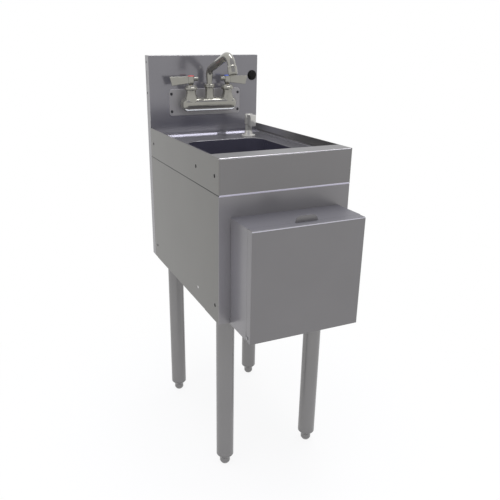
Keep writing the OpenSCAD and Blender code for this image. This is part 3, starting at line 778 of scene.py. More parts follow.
@dataclass
class Workshop:
    """Turns grids into pieces of the scene and dresses the carried-over nodes.

    Attributes:
        finishes: The materials.
        weld: Points nearer than this, in metres, are joined.
    """

    finishes: Finishes = field(default_factory=Finishes)
    weld: float = 3e-6

    def piece(self, name: str, skins: Sequence[Skin], finish: Finish,
              replaces: Sequence[str] = (), body: str = "sink_body", crease: float = 35.0,
              open_sheet: float = 0.0) -> None:
        """Makes one piece.

        Args:
            name: Name of the piece.
            skins: Its grids.
            finish: Its finish.
            replaces: Nodes that it stands for.
            body: Body that it rides on.
            crease: Edges that turn more than this, in degrees, stay sharp.
            open_sheet: Thickness that an open surface gets below it, 0 for a closed one.
        """
        points = np.concatenate([skin.points.reshape(-1, 3) for skin in skins])
        polygons: list[list[int]] = []
        start = 0
        for skin in skins:
            polygons += skin.polygons(start)
            start += skin.points.shape[0] * skin.points.shape[1]
        mesh = bpy.data.meshes.new(name)
        mesh.from_pydata((points + SEAT) * MM, [], polygons)
        work = bmesh.new()
        work.from_mesh(mesh)
        bmesh.ops.remove_doubles(work, verts=work.verts, dist=self.weld)
        bmesh.ops.recalc_face_normals(work, faces=work.faces)
        if open_sheet and sum(f.normal.z * f.calc_area() for f in work.faces) < 0:
            bmesh.ops.reverse_faces(work, faces=work.faces)
        work.to_mesh(mesh)
        work.free()
        mesh.materials.append(self.finishes.get(finish))
        made = bpy.data.objects.new(name, mesh)
        bpy.context.scene.collection.objects.link(made)
        if open_sheet:
            mesh = self._thicken(made, open_sheet)
        mesh.polygons.foreach_set("use_smooth", np.ones(len(mesh.polygons), bool))
        mesh.set_sharp_from_angle(angle=math.radians(crease))
        flat = made.modifiers.new("flat faces stay flat", "WEIGHTED_NORMAL")
        flat.keep_sharp = True
        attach(made, body)
        if replaces:
            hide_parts(*replaces)
        log.info("%s: %d faces on %s", name, len(mesh.polygons), body)

    @staticmethod
    def _thicken(made: bpy.types.Object, sheet: float) -> bpy.types.Mesh:
        """Gives an open surface its thickness, on the side away from its normals.

        Args:
            made: The piece.
            sheet: Thickness in millimetres.

        Returns:
            The new mesh of the piece.
        """
        wall = made.modifiers.new("sheet", "SOLIDIFY")
        wall.thickness = sheet * MM
        wall.offset = -1.0
        wall.use_even_offset = True
        graph = bpy.context.evaluated_depsgraph_get()
        thick = bpy.data.meshes.new_from_object(made.evaluated_get(graph))
        made.modifiers.remove(wall)
        made.data = thick
        return thick

    def dress(self, finish: Finish, *nodes: str) -> None:
        """Gives carried-over nodes their finish.

        Args:
            finish: The finish.
            nodes: Names of the nodes.
        """
        material = self.finishes.get(finish)
        for name in nodes:
            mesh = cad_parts[name].data
            if not mesh.materials:
                mesh.materials.append(material)
            for number in range(len(mesh.materials)):
                mesh.materials[number] = material
            log.info("%s: carried over in %s", name, finish.name)


# ---------------- the sink


@dataclass
class SinkTop:
    """Pan of the sink: sunken deck, coves, flat front rim, apron and side walls.

    The pitch is in degrees; holes and cells are places along Y on the side walls.
    """

    wall: float = 151.2
    cove: float = 6.0
    rear_cove: float = 1.0
    pitch: float = 2.3
    pitch_start: float = 418.0
    pitch_corner: float = 422.0
    pitch_bend: float = 40.0
    splash_seam: float = 783.0
    upstand_low: float = 751.5
    upstand_start: float = 755.0
    overlap: float = 30.0
    rim_depth: float = 51.0
    rim_bends: tuple[float, float] = (2.0, 3.0)
    apron_low: float = 690.0
    lip: float = 1.2
    per_side: int = 36
    hole_drop: float = 38.0
    hole_radius: float = 4.0
    holes: tuple[float, ...] = (22.0, 126.5, 439.5)
    cells: tuple[float, ...] = (0.0, 74.0, 283.0, 462.8)

    def _between(self, near: Array, far: Array) -> Skin:
        """Grid of rows that run evenly from the points near to the points far."""
        t = np.linspace(0, 1, self.per_side + 1)[None, :, None]
        return Skin(near[:, None, :] * (1 - t) + far[:, None, :] * t, ring=False)

    def _across(self, x: Array, y: Array, z: Array) -> Skin:
        """Grid of rows that run from (-x, y, z) to (x, y, z)."""
        return self._between(joined(-x, y, z), joined(x, y, z))

    def _cove(self) -> tuple[Array, Array]:
        """Quarter turn of a cove: its reach cove * sin a, and its height on the deck."""
        a = np.linspace(0, QUARTER, 9)
        return self.cove * np.sin(a), DECK + self.cove - self.cove * np.cos(a)

    def deck(self) -> Skin:
        """Flat deck round the bowl, and the lip that turns down into the bowl.

        With R on the outer rectangle and H on the opening, the deck is H + v * (R - H). The
        lip is a quarter turn: offset = lip * (1 - sin a), drop = lip * (1 - cos a).

        Returns:
            The grid of the deck.
        """
        x, y0, y1 = self.wall - self.cove, self.rim_depth + self.cove, self.pitch_start
        outer = around(np.array([[x, y0], [x, y1], [-x, y1], [-x, y0]]), self.per_side)
        middle = np.array([0.0, BOWL_Y])
        halves = np.array([BOWL_HALF_X, BOWL_HALF_Y])
        angle = np.arctan2(*((outer - middle) / halves).T[::-1])
        turn = np.linspace(0, QUARTER, 5)
        offset = self.lip * (1 - np.sin(turn))
        drop = self.lip * (1 - np.cos(turn))
        rows = []
        for ring in round_rectangle(BOWL_HALF_X + offset, BOWL_HALF_Y + offset,
                                    BOWL_CORNER + offset, 40):
            own = np.unwrap(np.arctan2(*(ring / halves).T[::-1]))
            own = np.append(own, own[0] + 2 * np.pi)
            line = np.vstack([ring, ring[:1]])
            want = np.mod(angle - own[0], 2 * np.pi) + own[0]
            rows.append(middle + joined(np.interp(want, own, line[:, 0]),
                                        np.interp(want, own, line[:, 1])))
        hole = np.array(rows)
        v = np.linspace(1, 0, 7)[:, None, None]
        flat = hole[0][None] + v * (outer - hole[0])[None]
        return Skin(np.concatenate([raised(flat, DECK), raised(hole, DECK - drop)[1:]]))

    def rear(self) -> Array:
        """Line of the rear in Y and Z: a shallow pitch, a bend and the foot of the splash.

        Returns:
            Points of the line, from the start of the pitch.
        """
        rise = (SPLASH_FACE - self.pitch_start) * math.tan(math.radians(self.pitch))
        line = rounded([(self.pitch_start - self.overlap, DECK, 0),
                        (self.pitch_corner, DECK, self.pitch_bend),
                        (SPLASH_FACE, DECK + rise, self.rear_cove),
                        (SPLASH_FACE, self.splash_seam, 0)], 9)[1:]
        line[0, 0] = self.pitch_start
        return line

    def coves(self) -> list[Skin]:
        """Coves at the sides, and the rear below the upstand, mitred where they meet.

        A side cove is (wall - cove + cove sin a, DECK + cove - cove cos a) and runs along Y
        between the surface of the front cove and that of the rear at its own height.

        Returns:
            The grids of the coves.
        """
        reach, z = self._cove()
        x = self.wall - self.cove + reach
        front = self.rim_depth + self.cove - reach
        line = self.rear()
        back = np.interp(z, line[:, 1], line[:, 0])
        skins = [self._between(joined(s * x, front, z), joined(s * x, back, z))
                 for s in (-1.0, 1.0)]
        high = np.concatenate([z, line[:, 1]])
        return skins + [self.rise(np.unique(np.append(high[high < self.upstand_low],
                                                      self.upstand_low)))]

    def rise(self, high: Array) -> Skin:
        """Part of the rear between the side coves.

        Args:
            high: Heights of its rows.

        Returns:
            Its grid.
        """
        reach, z = self._cove()
        line = self.rear()
        return self._across(np.interp(high, z, self.wall - self.cove + reach),
                            np.interp(high, line[:, 1], line[:, 0]), high)

    def upstand(self) -> Skin:
        """Upright foot of the splash, polished like the splash that is welded to it."""
        upper = np.linspace(self.upstand_start, self.splash_seam, 8)
        return self.rise(np.append(self.upstand_low, upper))

    def front(self) -> Skin:
        """Front cove, rim and apron: one bent line in Y and Z that runs across X.

        Returns:
            The grid of the front.
        """
        reach, height = self._cove()
        inner, outer = self.rim_bends
        bent = rounded([(self.rim_depth, DECK + self.cove, 0), (self.rim_depth, RIM, inner),
                        (0.0, RIM, outer), (0.0, self.apron_low, 0)], 6)[1:]
        return self._across(
            np.concatenate([self.wall - self.cove + reach, np.full(len(bent), self.wall)]),
            np.concatenate([self.rim_depth + self.cove - reach, bent[:, 0]]),
            np.concatenate([height, bent[:, 1]]))

    def walls(self) -> list[Skin]:
        """Side walls with the holes that join the sink to its neighbours."""
        plate = HoledPlate(self.cells, self.holes, RIM - self.hole_drop, self.hole_radius,
                           self.apron_low, RIM)
        return [skin for s in (-1.0, 1.0)
                for skin in plate.skins(s * self.wall, s * (self.wall + SHEET))]

    def build(self, shop: Workshop) -> None:
        """Makes the pan, its upstand and its walls.

        Args:
            shop: Makes the pieces.
        """
        shop.piece("sink_pan", [self.deck(), *self.coves(), self.front()], Finishes.TOP,
                   ["sink_top"], open_sheet=SHEET, crease=50)
        shop.piece("pan_upstand", [self.upstand()], Finishes.SPLASH,
                   open_sheet=SHEET)
        shop.piece("sink_walls", self.walls(), Finishes.SIDE)


@dataclass
class Bowl:
    """Deep drawn bowl with round corners, over its drain."""

    top: float = 741.8
    floor: float = 565.0
    floor_r: float = 24.0
    least_corner: float = 6.0
    drain_r: float = 22.0
    wall_rows: int = 6

    def shell(self) -> Skin:
        """Bowl of even thickness.

        Row i is the outline drawn in by d_i at height z_i: straight wall, quarter turn
        d = r (1 - cos a), z = floor + r (1 - sin a), then a flat floor that goes over evenly
        into the circle of the drain. The outer side is the same, out by the sheet.

        Returns:
            The closed grid.
        """
        a = np.linspace(0, QUARTER, 9)[1:]
        t = np.linspace(0, 1, 9)[1:, None, None]
        turn_top = self.floor + self.floor_r
        sides: list[Array] = []
        for out in (0.0, SHEET):
            radius = self.floor_r + out
            inset = np.concatenate([np.zeros(self.wall_rows), radius * (1 - np.cos(a))])
            high = np.concatenate([np.linspace(self.top, turn_top, self.wall_rows),
                                   turn_top - radius * np.sin(a)])
            flat = round_rectangle(BOWL_HALF_X + out - inset, BOWL_HALF_Y + out - inset,
                                   np.maximum(BOWL_CORNER + out - inset, self.least_corner),
                                   10)
            angle = np.arctan2(flat[-1][:, 1], flat[-1][:, 0])
            drain = self.drain_r * joined(np.cos(angle), np.sin(angle))
            base = flat[-1][None] * (1 - t) + drain[None] * t
            sides.append(np.concatenate([raised(flat, high),
                                         raised(base, self.floor - out)]))
        points = np.concatenate([sides[0], sides[1][::-1]])
        points[..., 1] += BOWL_Y
        return Skin(points, loop=True)

    def build(self, shop: Workshop) -> None:
        """Makes the bowl and dresses the drain.

        Args:
            shop: Makes and dresses the pieces.
        """
        shop.piece("bowl_shell", [self.shell()], Finishes.BOWL, ["sink_bowl"])
        shop.dress(Finishes.DRAIN, "drain_body", "tailpiece")
        shop.dress(Finishes.BRASS, "drain_nut")
        shop.dress(Finishes.RUBBER, "drain_gasket")


class Cabinet:
    """Splash, side and front panels, rear rail and the channels that carry the legs."""

    @staticmethod
    def build(shop: Workshop) -> None:
        """Dresses the sheets.

        Args:
            shop: Dresses the pieces.
        """
        shop.dress(Finishes.SPLASH, "backsplash")
        shop.dress(Finishes.SIDE, "left_side_panel", "right_side_panel")
        shop.dress(Finishes.PANEL, "front_panel", "rear_rail")
        shop.dress(Finishes.FRAME, "front_leg_channel", "rear_leg_channel", "leg_sockets",
                   "foot_inserts", "backing_plate")


@dataclass
class Legs:
    """Four tube legs, each with a bullet foot on a threaded stud."""

    x: float = 115.0
    rows: tuple[float, float] = (53.0, 402.0)
    radius: float = 20.65
    wall: float = 1.2
    top: float = 455.5
    low: float = 29.0
    foot_top: float = 28.9
    stud_low: float = 28.0
    stud_top: float = 60.0
    stud_radius: float = 6.0
    half_thread: float = 0.35
    thread_pitch: float = 1.75
    thread_rows: int = 143

    def tube(self, x: float, y: float) -> Skin:
        """Open tube with a rolled lower edge, turned from its closed section."""
        inner = self.radius - self.wall
        return turned([
            (self.radius, self.low, 0.5), (self.radius, self.top, 0.3),
            (inner, self.top, 0.3), (inner, self.low, 0.5)], 4, (x, y, 0.0), sides=72,
            closed=True)

    def foot(self, x: float, y: float) -> list[Skin]:
        """Bullet foot and its stud.

        The stud's thread is a row of ridges:
        radius = stud_radius - half_thread (1 - cos(2 pi h / thread_pitch)).

        Args:
            x: Place of its axis across.
            y: Place of its axis along.

        Returns:
            The closed grids of foot and stud.
        """
        top = self.foot_top
        shell = turned([
            (0.0, 0.0, 0), (9.0, 0.0, 2.0), (12.4, 5.5, 2.5), (12.4, 17.0, 3.0),
            (self.radius, 27.0, 1.2), (self.radius, top, 0.4), (0.0, top, 0)], 5,
            (x, y, 0.0), sides=64)
        height = np.linspace(top, self.stud_top, self.thread_rows)
        ridge = self.stud_radius - self.half_thread * (
            1 - np.cos(2 * np.pi * (height - top) / self.thread_pitch))
        stud = np.vstack([[0.0, self.stud_low], joined(ridge, height),
                          [0.0, self.stud_top]])
        return [shell, lathe(stud, (x, y, 0.0), sides=24)]

    def build(self, shop: Workshop) -> None:
        """Makes the legs and the feet.

        Args:
            shop: Makes the pieces.
        """
        for side, x in (("left", -self.x), ("right", self.x)):
            for end, y in zip(("front", "rear"), self.rows):
                shop.piece(f"leg_tube_{end}_{side}", [self.tube(x, y)], Finishes.LEG,
                           [f"leg_{end}_{side}"])
                shop.piece(f"bullet_foot_{end}_{side}", self.foot(x, y), Finishes.LEG,
                           [f"foot_{end}_{side}"], f"foot_{end}_{side}")


@dataclass
class Faucet:
    """Wall faucet: body with three columns, bonnet nuts, lever handles and swivel spout."""

    valve_x: float = 50.8
    body_half: float = 76.0
    body_end: float = 17.0
    body_low: float = 806.5
    body_high: float = 841.0
    body_front: float = 410.5
    body_crowding: float = 1.8
    body_roundness: float = 2.3
    body_tip: tuple[float, float] = (0.1, 0.15)
    flatness: float = 0.8
    section_points: int = 112
    plate_y: float = 457.0
    plate_z: float = 827.15
    plate_size: tuple[float, float, float] = (100.0, 33.85, 7.0)
    neck_z: float = 822.5
    neck: float = 8.0
    column_top: float = 861.0
    swell_end: float = 4.0
    collar: float = 0.9
    collar_foot: float = 2.2
    collar_edge: float = 1.2
    spout_column_top: float = 866.0
    hub_low: float = 872.6
    hub_high: float = 893.5
    blade: float = 57.2
    blade_drop: float = 22.5
    blade_root: tuple[float, float] = (3.0, 877.0)
    blade_run: tuple[float, float] = (47.7, 6.0)
    blade_even: float = 0.975
    blade_tip: tuple[tuple[float, float], ...] = ((0.99, 0.35), (0.997, 0.8), (1.0, 1.4))
    blade_half: float = 3.5
    blade_corner: float = 1.5
    stub_z: float = 887.0
    spout_low: float = 846.0
    spout_widens: float = 878.5
    spout_leans: float = 895.6
    spout_run: float = 96.23
    spout_bends: tuple[float, float] = (18.0, 31.0)
    spout_turns: tuple[float, float] = (72.5, 87.5)
    spout_radii: tuple[float, float, float] = (7.5, 8.6, 9.7)
    aerator_seat: float = 0.4

    def section(self) -> tuple[Array, Array]:
        """Points in even steps on the line c = sign(cos) |cos|^p, s = sign(sin) |sin|^p.

        Returns:
            c and s of the points.
        """
        angle = np.linspace(0, 2 * np.pi, 2881)
        c, s = (np.sign(v) * np.abs(v) ** self.flatness
                for v in (np.cos(angle), np.sin(angle)))
        way = np.concatenate([[0.0], np.cumsum(np.hypot(np.diff(c), np.diff(s)))])
        even = np.linspace(0, way[-1], self.section_points, endpoint=False)
        return np.interp(even, way, c), np.interp(even, way, s)

    def bar(self) -> Skin:
        """Main bar of the body.

        The section at x is (yc + ry (a + (1 - a) e) c, zc + rz (b + (1 - b) e) s), with a and
        b the shares left at the tip. Along the bar e is 1, and over the part of it that is
        its end it falls to 0 as sqrt(1 - part^roundness).

        Returns:
            The closed grid.
        """
        t = np.linspace(-1, 1, 61)
        x = np.sign(t) * self.body_half * (1 - (1 - np.abs(t)) ** self.body_crowding)
        part = np.clip((np.abs(x) - (self.body_half - self.body_end)) / self.body_end, 0, 1)
        e = np.sqrt(np.clip(1 - part ** self.body_roundness, 0.0, 1))
        c, s = self.section()
        (yc, ry), (zc, rz) = ((0.5 * (low + high), 0.5 * (high - low)) for low, high in (
            (self.body_front, self.plate_y), (self.body_low, self.body_high)))
        share_y, share_z = ((tip + (1 - tip) * e)[:, None] for tip in self.body_tip)
        return Skin(joined(x[:, None], yc + ry * share_y * c, zc + rz * share_z * s),
                    ends=True)

    def column(self, x: float, top: float, radius: float, rise: float, reach: float,
               widen: float) -> Skin:
        """Column that swells into the bar below it.

        Below the start of the swell, at body_high + rise, the radius is
        radius + (reach - radius) t^2 (3 - 2 t), where t runs to 1 a little above the middle
        of the bar and stays there. Across X it is 1 + widen * t^2 times as wide.

        Args:
            x: Place of its axis.
            top: Height of its top.
            radius: Radius of the straight part.
            rise: Height of the swell above the bar.
            reach: Radius at its foot.
            widen: Share that the foot is wider across X.

        Returns:
            The closed grid.
        """
        start, end = self.body_high + rise, 0.5 * (self.body_low + self.body_high)
        height = np.linspace(end, start, 30)
        t = np.clip((start - height) / (start - end - self.swell_end), 0, 1)
        swell = joined(radius + (reach - radius) * t ** 2 * (3 - 2 * t), height)
        wide = radius + self.collar
        head = rounded([(radius, start + 0.5, 0), (radius, top - self.collar_foot, 1),
                        (wide, top - self.collar_edge, 0.6), (wide, top, 0.5),
                        (0.0, top, 0)], 6)
        skin = lathe(np.vstack([[0.0, end], swell, head]), (x, FAUCET_Y, 0.0), sides=72)
        stretch = np.concatenate([[1.0], 1 + widen * t ** 2, np.ones(len(head))])
        skin.points[..., 0] = x + (skin.points[..., 0] - x) * stretch[:, None]
        return skin

    def body(self) -> list[Skin]:
        """Bar, columns and the two short necks that reach the wall plate.

        Returns:
            The closed grids.
        """
        skins = [self.bar(), self.column(0.0, self.spout_column_top, radius=11.0, rise=11.0,
                                         reach=13.5, widen=0.5)]
        for x in (-self.valve_x, self.valve_x):
            skins.append(self.column(x, self.column_top, radius=12.25, rise=15.0,
                                     reach=16.7, widen=0.3))
            skins.append(turned([
                (0.0, 0.0, 0), (13.5, 0.0, 1), (14.5, 6.0, 1), (14.5, self.neck, 0.3),
                (0.0, self.neck, 0)], 4, (x, self.plate_y - self.neck, self.neck_z), BACK))
        return skins

    def plate(self) -> Skin:
        """Wall plate with round corners and a rolled front edge.

        Row i is the outline drawn in by 1 - cos a at a depth of 1 - sin a.

        Returns:
            The closed grid.
        """
        a = np.linspace(0, QUARTER, 5)
        inset = np.append(0.0, 1.0 - np.cos(a))
        depth = np.append(SPLASH_FACE, self.plate_y + 1.0 - np.sin(a))
        half_x, half_z, corner = self.plate_size
        x, z = np.moveaxis(
            round_rectangle(half_x - inset, half_z - inset, corner - inset, 8), -1, 0)
        return Skin(joined(x, depth[:, None], self.plate_z + z), ends=True)

    @staticmethod
    def bonnet(x: float) -> Skin:
        """Bonnet nut: a wide rolled flange under a cone with a dished top."""
        return turned([
            (8.0, 861.0, 0), (16.2, 861.0, 0.8), (17.0, 862.2, 0.8), (17.0, 866.0, 1.2),
            (15.6, 867.2, 1.2), (11.6, 872.0, 1), (7.6, 872.0, 0.6), (5.0, 871.0, 0.3),
            (5.0, 868.0, 0), (8.0, 868.0, 0)], 4, (x, FAUCET_Y, 0.0), closed=True)

    def handle(self, side: float) -> list[Skin]:
        """Lever handle: hub, blade towards the outside and a round stub to the inside.

        The blade's row s is a rounded section between the point (blade * s, hub top) and
        root + s * run; the last rows shrink to round the tip.

        Args:
            side: -1 for the left handle and 1 for the right one.

        Returns:
            The closed grids.
        """
        x0 = side * self.valve_x
        hub = turned([
            (0.0, self.hub_low, 0), (5.4, self.hub_low, 0.5), (8.3, self.hub_low + 6, 3),
            (8.3, self.hub_high, 0.6), (0.0, self.hub_high, 0)], 5, (x0, FAUCET_Y, 0.0))
        even = np.linspace(0, self.blade_even, 14)
        rows, shrinks = np.array(self.blade_tip).T
        s, shrink = np.append(even, rows), np.append(np.zeros_like(even), shrinks)
        section = round_rectangle(self.blade_half - shrink, 0.5 * self.blade_drop - shrink,
                                  self.blade_corner - 0.5 * shrink, 4)
        top = joined(self.blade * s, self.hub_high)
        (root_x, root_z), (run, fall) = self.blade_root, self.blade_run
        low = joined(root_x + run * s, root_z - fall * s)
        k = 0.5 + section[..., 1] / self.blade_drop
        line = low[:, None, :] * (1 - k[..., None]) + top[:, None, :] * k[..., None]
        blade = joined(x0 + side * line[..., 0], FAUCET_Y + section[..., 0], line[..., 1])
        stub = turned([(0.0, 0.0, 0), (4.7, 0.0, 0), (4.7, 19.3, 1.6), (0.0, 19.3, 0)], 6,
                      (x0, FAUCET_Y, self.stub_z), (-side, 0.0, 0.0), 32)
        return [hub, Skin(blade, ends=True), stub]

    @staticmethod
    def index(x: float) -> Skin:
        """Index button: a low dome with a groove near its rim."""
        return turned([
            (0.0, 893.2, 0), (8.0, 893.2, 0.2), (8.0, 895.1, 0.6), (6.9, 895.5, 0.2),
            (6.6, 895.2, 0.1), (6.2, 895.6, 0.2), (3.0, 895.9, 2), (0.0, 896.0, 0)], 4,
            (x, FAUCET_Y, 0.0))

    def spout_line(self) -> tuple[Array, Array]:
        """Centre line and radii of the spout.

        The heading turns from upright over the first bend, runs straight and turns again
        over the second bend. The line is the running sum of (-sin, cos) of the heading.

        Returns:
            Points and radii.
        """
        lean, drop = self.spout_turns
        first, second = (bend * math.radians(turn)
                         for bend, turn in zip(self.spout_bends, self.spout_turns))
        knots = np.cumsum([0.0, self.spout_leans - self.spout_low, first, self.spout_run,
                           second, 1.0])
        turn = np.radians([0.0, 0.0, lean, lean, lean + drop, lean + drop])
        s = np.linspace(0, knots[-1], 321)
        heading = np.interp(0.5 * (s[1:] + s[:-1]), knots, turn)
        y, z = (np.append(0.0, np.cumsum(way * (s[1] - s[0])))
                for way in (np.sin(heading), np.cos(heading)))
        thin, bent, wide = self.spout_radii
        radius = np.interp(s, [0.0, self.spout_widens - self.spout_low, knots[1], knots[3],
                               knots[-1]], [thin, thin, bent, wide, wide])
        return joined(0.0, FAUCET_Y - y, self.spout_low + z), radius

    def spout(self) -> Skin:
        """Spout tube: a circle carried along the centre line, closed at both ends."""
        path, radius = self.spout_line()
        return sweep(np.vstack([path[:1], path, path[-1:]]), np.pad(radius, 1))

    def aerator(self) -> Skin:
        """Aerator: a collar with a groove, a rolled end and a dished screen.

        Returns:
            The closed grid.
        """
        path, _ = self.spout_line()
        _, y, z = path[-1]
        tilt = math.radians(180.0 - sum(self.spout_turns))
        return turned([
            (0.0, 0.2, 0), (9.8, 0.2, 0.4), (11.4, 2.4, 1.6), (11.4, 6.0, 0.2),
            (11.0, 6.4, 0.1), (11.0, 7.2, 0.1), (11.4, 7.6, 0.2), (11.4, 17.5, 2.0),
            (10.0, 21.0, 0.6), (8.9, 21.0, 0.4), (8.4, 18.6, 0.5), (0.0, 18.2, 0)], 4,
            (0.0, float(y), float(z) + self.aerator_seat),
            (0.0, -math.sin(tilt), -math.cos(tilt)))

    @staticmethod
    def nut() -> Skin:
        """Nut that holds the spout, with a shallow groove."""
        return turned([
            (7.56, 866.0, 0), (14.0, 866.0, 0.5), (14.3, 867.2, 0.4), (14.3, 869.4, 0.2),
            (13.9, 869.8, 0.1), (13.9, 870.4, 0.1), (14.3, 870.8, 0.2), (14.3, 872.4, 1.2),
            (11.8, 874.5, 0.8), (7.56, 874.5, 0)], 4, (0.0, FAUCET_Y, 0.0), closed=True)

    def build(self, shop: Workshop) -> None:
        """Makes the faucet piece by piece.

        Args:
            shop: Makes and dresses the pieces.
        """
        chrome = Finishes.CHROME
        shop.piece("faucet_casting", self.body(), chrome, ["faucet_body"],
                   crease=50)
        shop.piece("wall_plate", [self.plate()], Finishes.PLATE, ["faucet_plate"])
        for word, side, finish, slot in (
                ("hot", -1.0, Finishes.RED, "red_plastic"),
                ("cold", 1.0, Finishes.BLUE, "blue_plastic")):
            x = side * self.valve_x
            shop.piece(f"{word}_bonnet", [self.bonnet(x)], chrome,
                       [f"{word}_bonnet_nut"])
            shop.piece(f"{word}_lever", self.handle(side), chrome,
                       [f"{word}_handle"], f"{word}_handle")
            shop.piece(f"{word}_button", [self.index(x)], finish, [f"{word}_index"],
                       f"{word}_handle")
        shop.piece("spout_nut_ring", [self.nut()], chrome, ["spout_nut"])
        shop.piece("spout_tube", [self.spout()], chrome, ["spout"], "spout",
                   crease=60)
        shop.piece("spout_aerator", [self.aerator()], chrome, ["aerator"], "spout")
        shop.dress(Finishes.SCREW, "plate_screws")
        shop.dress(Finishes.HARDWARE, "shank_washers", "hot_handle_screw",
                   "cold_handle_screw")
        shop.dress(Finishes.BRASS, "supply_shanks", "shank_nuts", "hot_cartridge",
                   "cold_cartridge", "hot_stem", "cold_stem")
        shop.dress(Finishes.RUBBER, "spout_o_ring")


@dataclass
class SplashPlug:
    """Black plug in the spare hole of the splash."""

    x: float = 136.9
    z: float = 892.1

    def build(self, shop: Workshop) -> None:
        """Makes the plug: a rimmed dome turned round Y, with its catch behind the sheet.

        Args:
            shop: Makes the piece.
        """
        plug = turned([
            (0.0, -5.0, 0), (5.0, -4.6, 8), (9.6, -3.4, 1), (10.4, -2.4, 0.3),
            (11.0, -2.7, 0.3), (12.3, -1.9, 1), (13.0, -0.6, 0.4), (13.0, 0.0, 0.2),
            (10.2, 0.0, 0), (10.2, 1.2, 0), (10.8, 1.6, 0.2), (10.0, 4.2, 0.4),
            (0.0, 4.2, 0)], 5, (self.x, SPLASH_FACE, self.z), BACK)
        shop.piece("spare_hole_plug", [plug], Finishes.BLACK,
                   ["hole_plug"])


@dataclass
class SoapPump:
    """Soap pump in the deck: flange, neck, pressing head with nose, bottle below."""

    x: float = 89.0
    y: float = 374.0

    def collar(self) -> Skin:
        """Flange, hollow cone and neck, with the threaded shank below the deck."""
        return turned([
            (3.06, 690.0, 0), (11.0, 690.0, 0.6), (11.0, DECK, 0), (18.5, DECK, 0.3),
            (18.5, 745.6, 1.0), (17.2, 747.0, 1.4), (12.2, 747.0, 1.6), (8.5, 757.0, 6),
            (8.5, 773.0, 0.6), (3.06, 773.0, 0)], 5, (self.x, self.y, 0.0), closed=True)

    def head(self) -> list[Skin]:
        """Head: a round cap, and a nose whose section steps down at its tip.

        The nose's row i lies at y_i and is a rounded section from low_i to high_i.

        Returns:
            The closed grids.
        """
        cap = rounded([(9.3, 774.5, 0), (10.5, 774.5, 0.4), (10.5, 800.0, 1.8),
                       (0.0, 800.0, 0), (0.0, 789.0, 0), (9.3, 789.0, 0)], 6)
        cap = np.vstack([cap, cap[:1]])
        y = np.array([-28.0, -27.6, -26.8, -18.2, -17.2, -16.8, -9.8, -9.7, -4.0])
        low = np.array([771.9, 771.0, 770.5, 770.5, 771.4, 776.5, 776.5, 790.0, 790.0])
        high = np.append([798.4, 799.2], np.full(7, 799.5))
        half = np.append([7.0, 7.7], np.full(7, 8.0))
        x, z = np.moveaxis(round_rectangle(half, 0.5 * (high - low), 1.6, 4), -1, 0)
        nose = joined(self.x + x, (self.y + y)[:, None], 0.5 * (high + low)[:, None] + z)
        return [lathe(cap, (self.x, self.y, 0.0)), Skin(nose, ends=True)]

    def build(self, shop: Workshop) -> None:
        """Makes the pump and dresses what hangs below the deck.

        Args:
            shop: Makes and dresses the pieces.
        """
        shop.piece("pump_flange", [self.collar()], Finishes.PUMP,
                   ["pump_collar"])
        shop.piece("pump_button", self.head(), Finishes.PUMP, ["pump_head"],
                   "pump_head", crease=45)
        shop.dress(Finishes.HARDWARE, "pump_nut", "pump_spring")
        shop.dress(Finishes.WHITE, "pump_stem", "dip_tube", "soap_bottle")


@dataclass
class TowelBox:
    """Towel dispenser on the front: fixed housing and a door that tilts forward."""

    half: float = 127.0
    front: float = -100.0
    flange: float = -80.0
    low: float = 408.0
    high: float = 644.5
    bend: float = 2.6
    tab: tuple[float, float, float] = (25.0, 13.0, 12.0)
    pin: tuple[float, float] = (-85.5, 415.9)

    def door(self) -> list[Skin]:
        """Door: one sheet bent to the top and to both sides, and its finger tab.

        Returns:
            The closed grids.
        """
        skins = BentSheet((-self.half, self.front, self.low),
                          (self.half, self.flange, self.high), self.bend,
                          {(1, 0), (2, 1), (0, 0), (0, 1)}).skins()
        for skin in skins:
            skin.points[..., 1:] = self.turned_corner(skin.points[..., 1:])
        half, rise, corner = self.tab
        low, high = self.high - SHEET, self.high + rise
        outline = rounded([(-half, low, 0), (half, low, 0), (half, high, corner),
                           (-half, high, corner)], 10, closed=True)
        x, z = outline.T
        depth = np.array([[self.flange - SHEET], [self.flange]])
        return skins + [Skin(joined(x, depth, z), ends=True)]

    def turned_corner(self, points: Array) -> Array:
        """Draws the lower rear corner in to a circle round the hinge pin.

        Args:
            points: Y and Z of the points.

        Returns:
            Y and Z, where points behind and below the pin lie no farther from it than the
            flange's edge.
        """
        pin = np.array(self.pin)
        away = points - pin
        far = np.maximum(np.linalg.norm(away, axis=-1, keepdims=True), 1e-6)
        reach = self.flange - self.pin[0]
        corner = (away[..., :1] > 0) & (away[..., 1:] < 0) & (far > reach)
        return np.where(corner, pin + reach * away / far, points)

    def build(self, shop: Workshop) -> None:
        """Makes the door and dresses the housing and its small parts.

        Args:
            shop: Makes and dresses the pieces.
        """
        shop.piece("towel_box_door", self.door(), Finishes.TOWEL,
                   ["towel_door"], "towel_door")
        shop.dress(Finishes.TOWEL, "towel_housing")
        shop.dress(Finishes.HARDWARE, "door_pins", "housing_rivets")
        shop.dress(Finishes.MAGNET, "door_magnets")


# ---------------- the studio


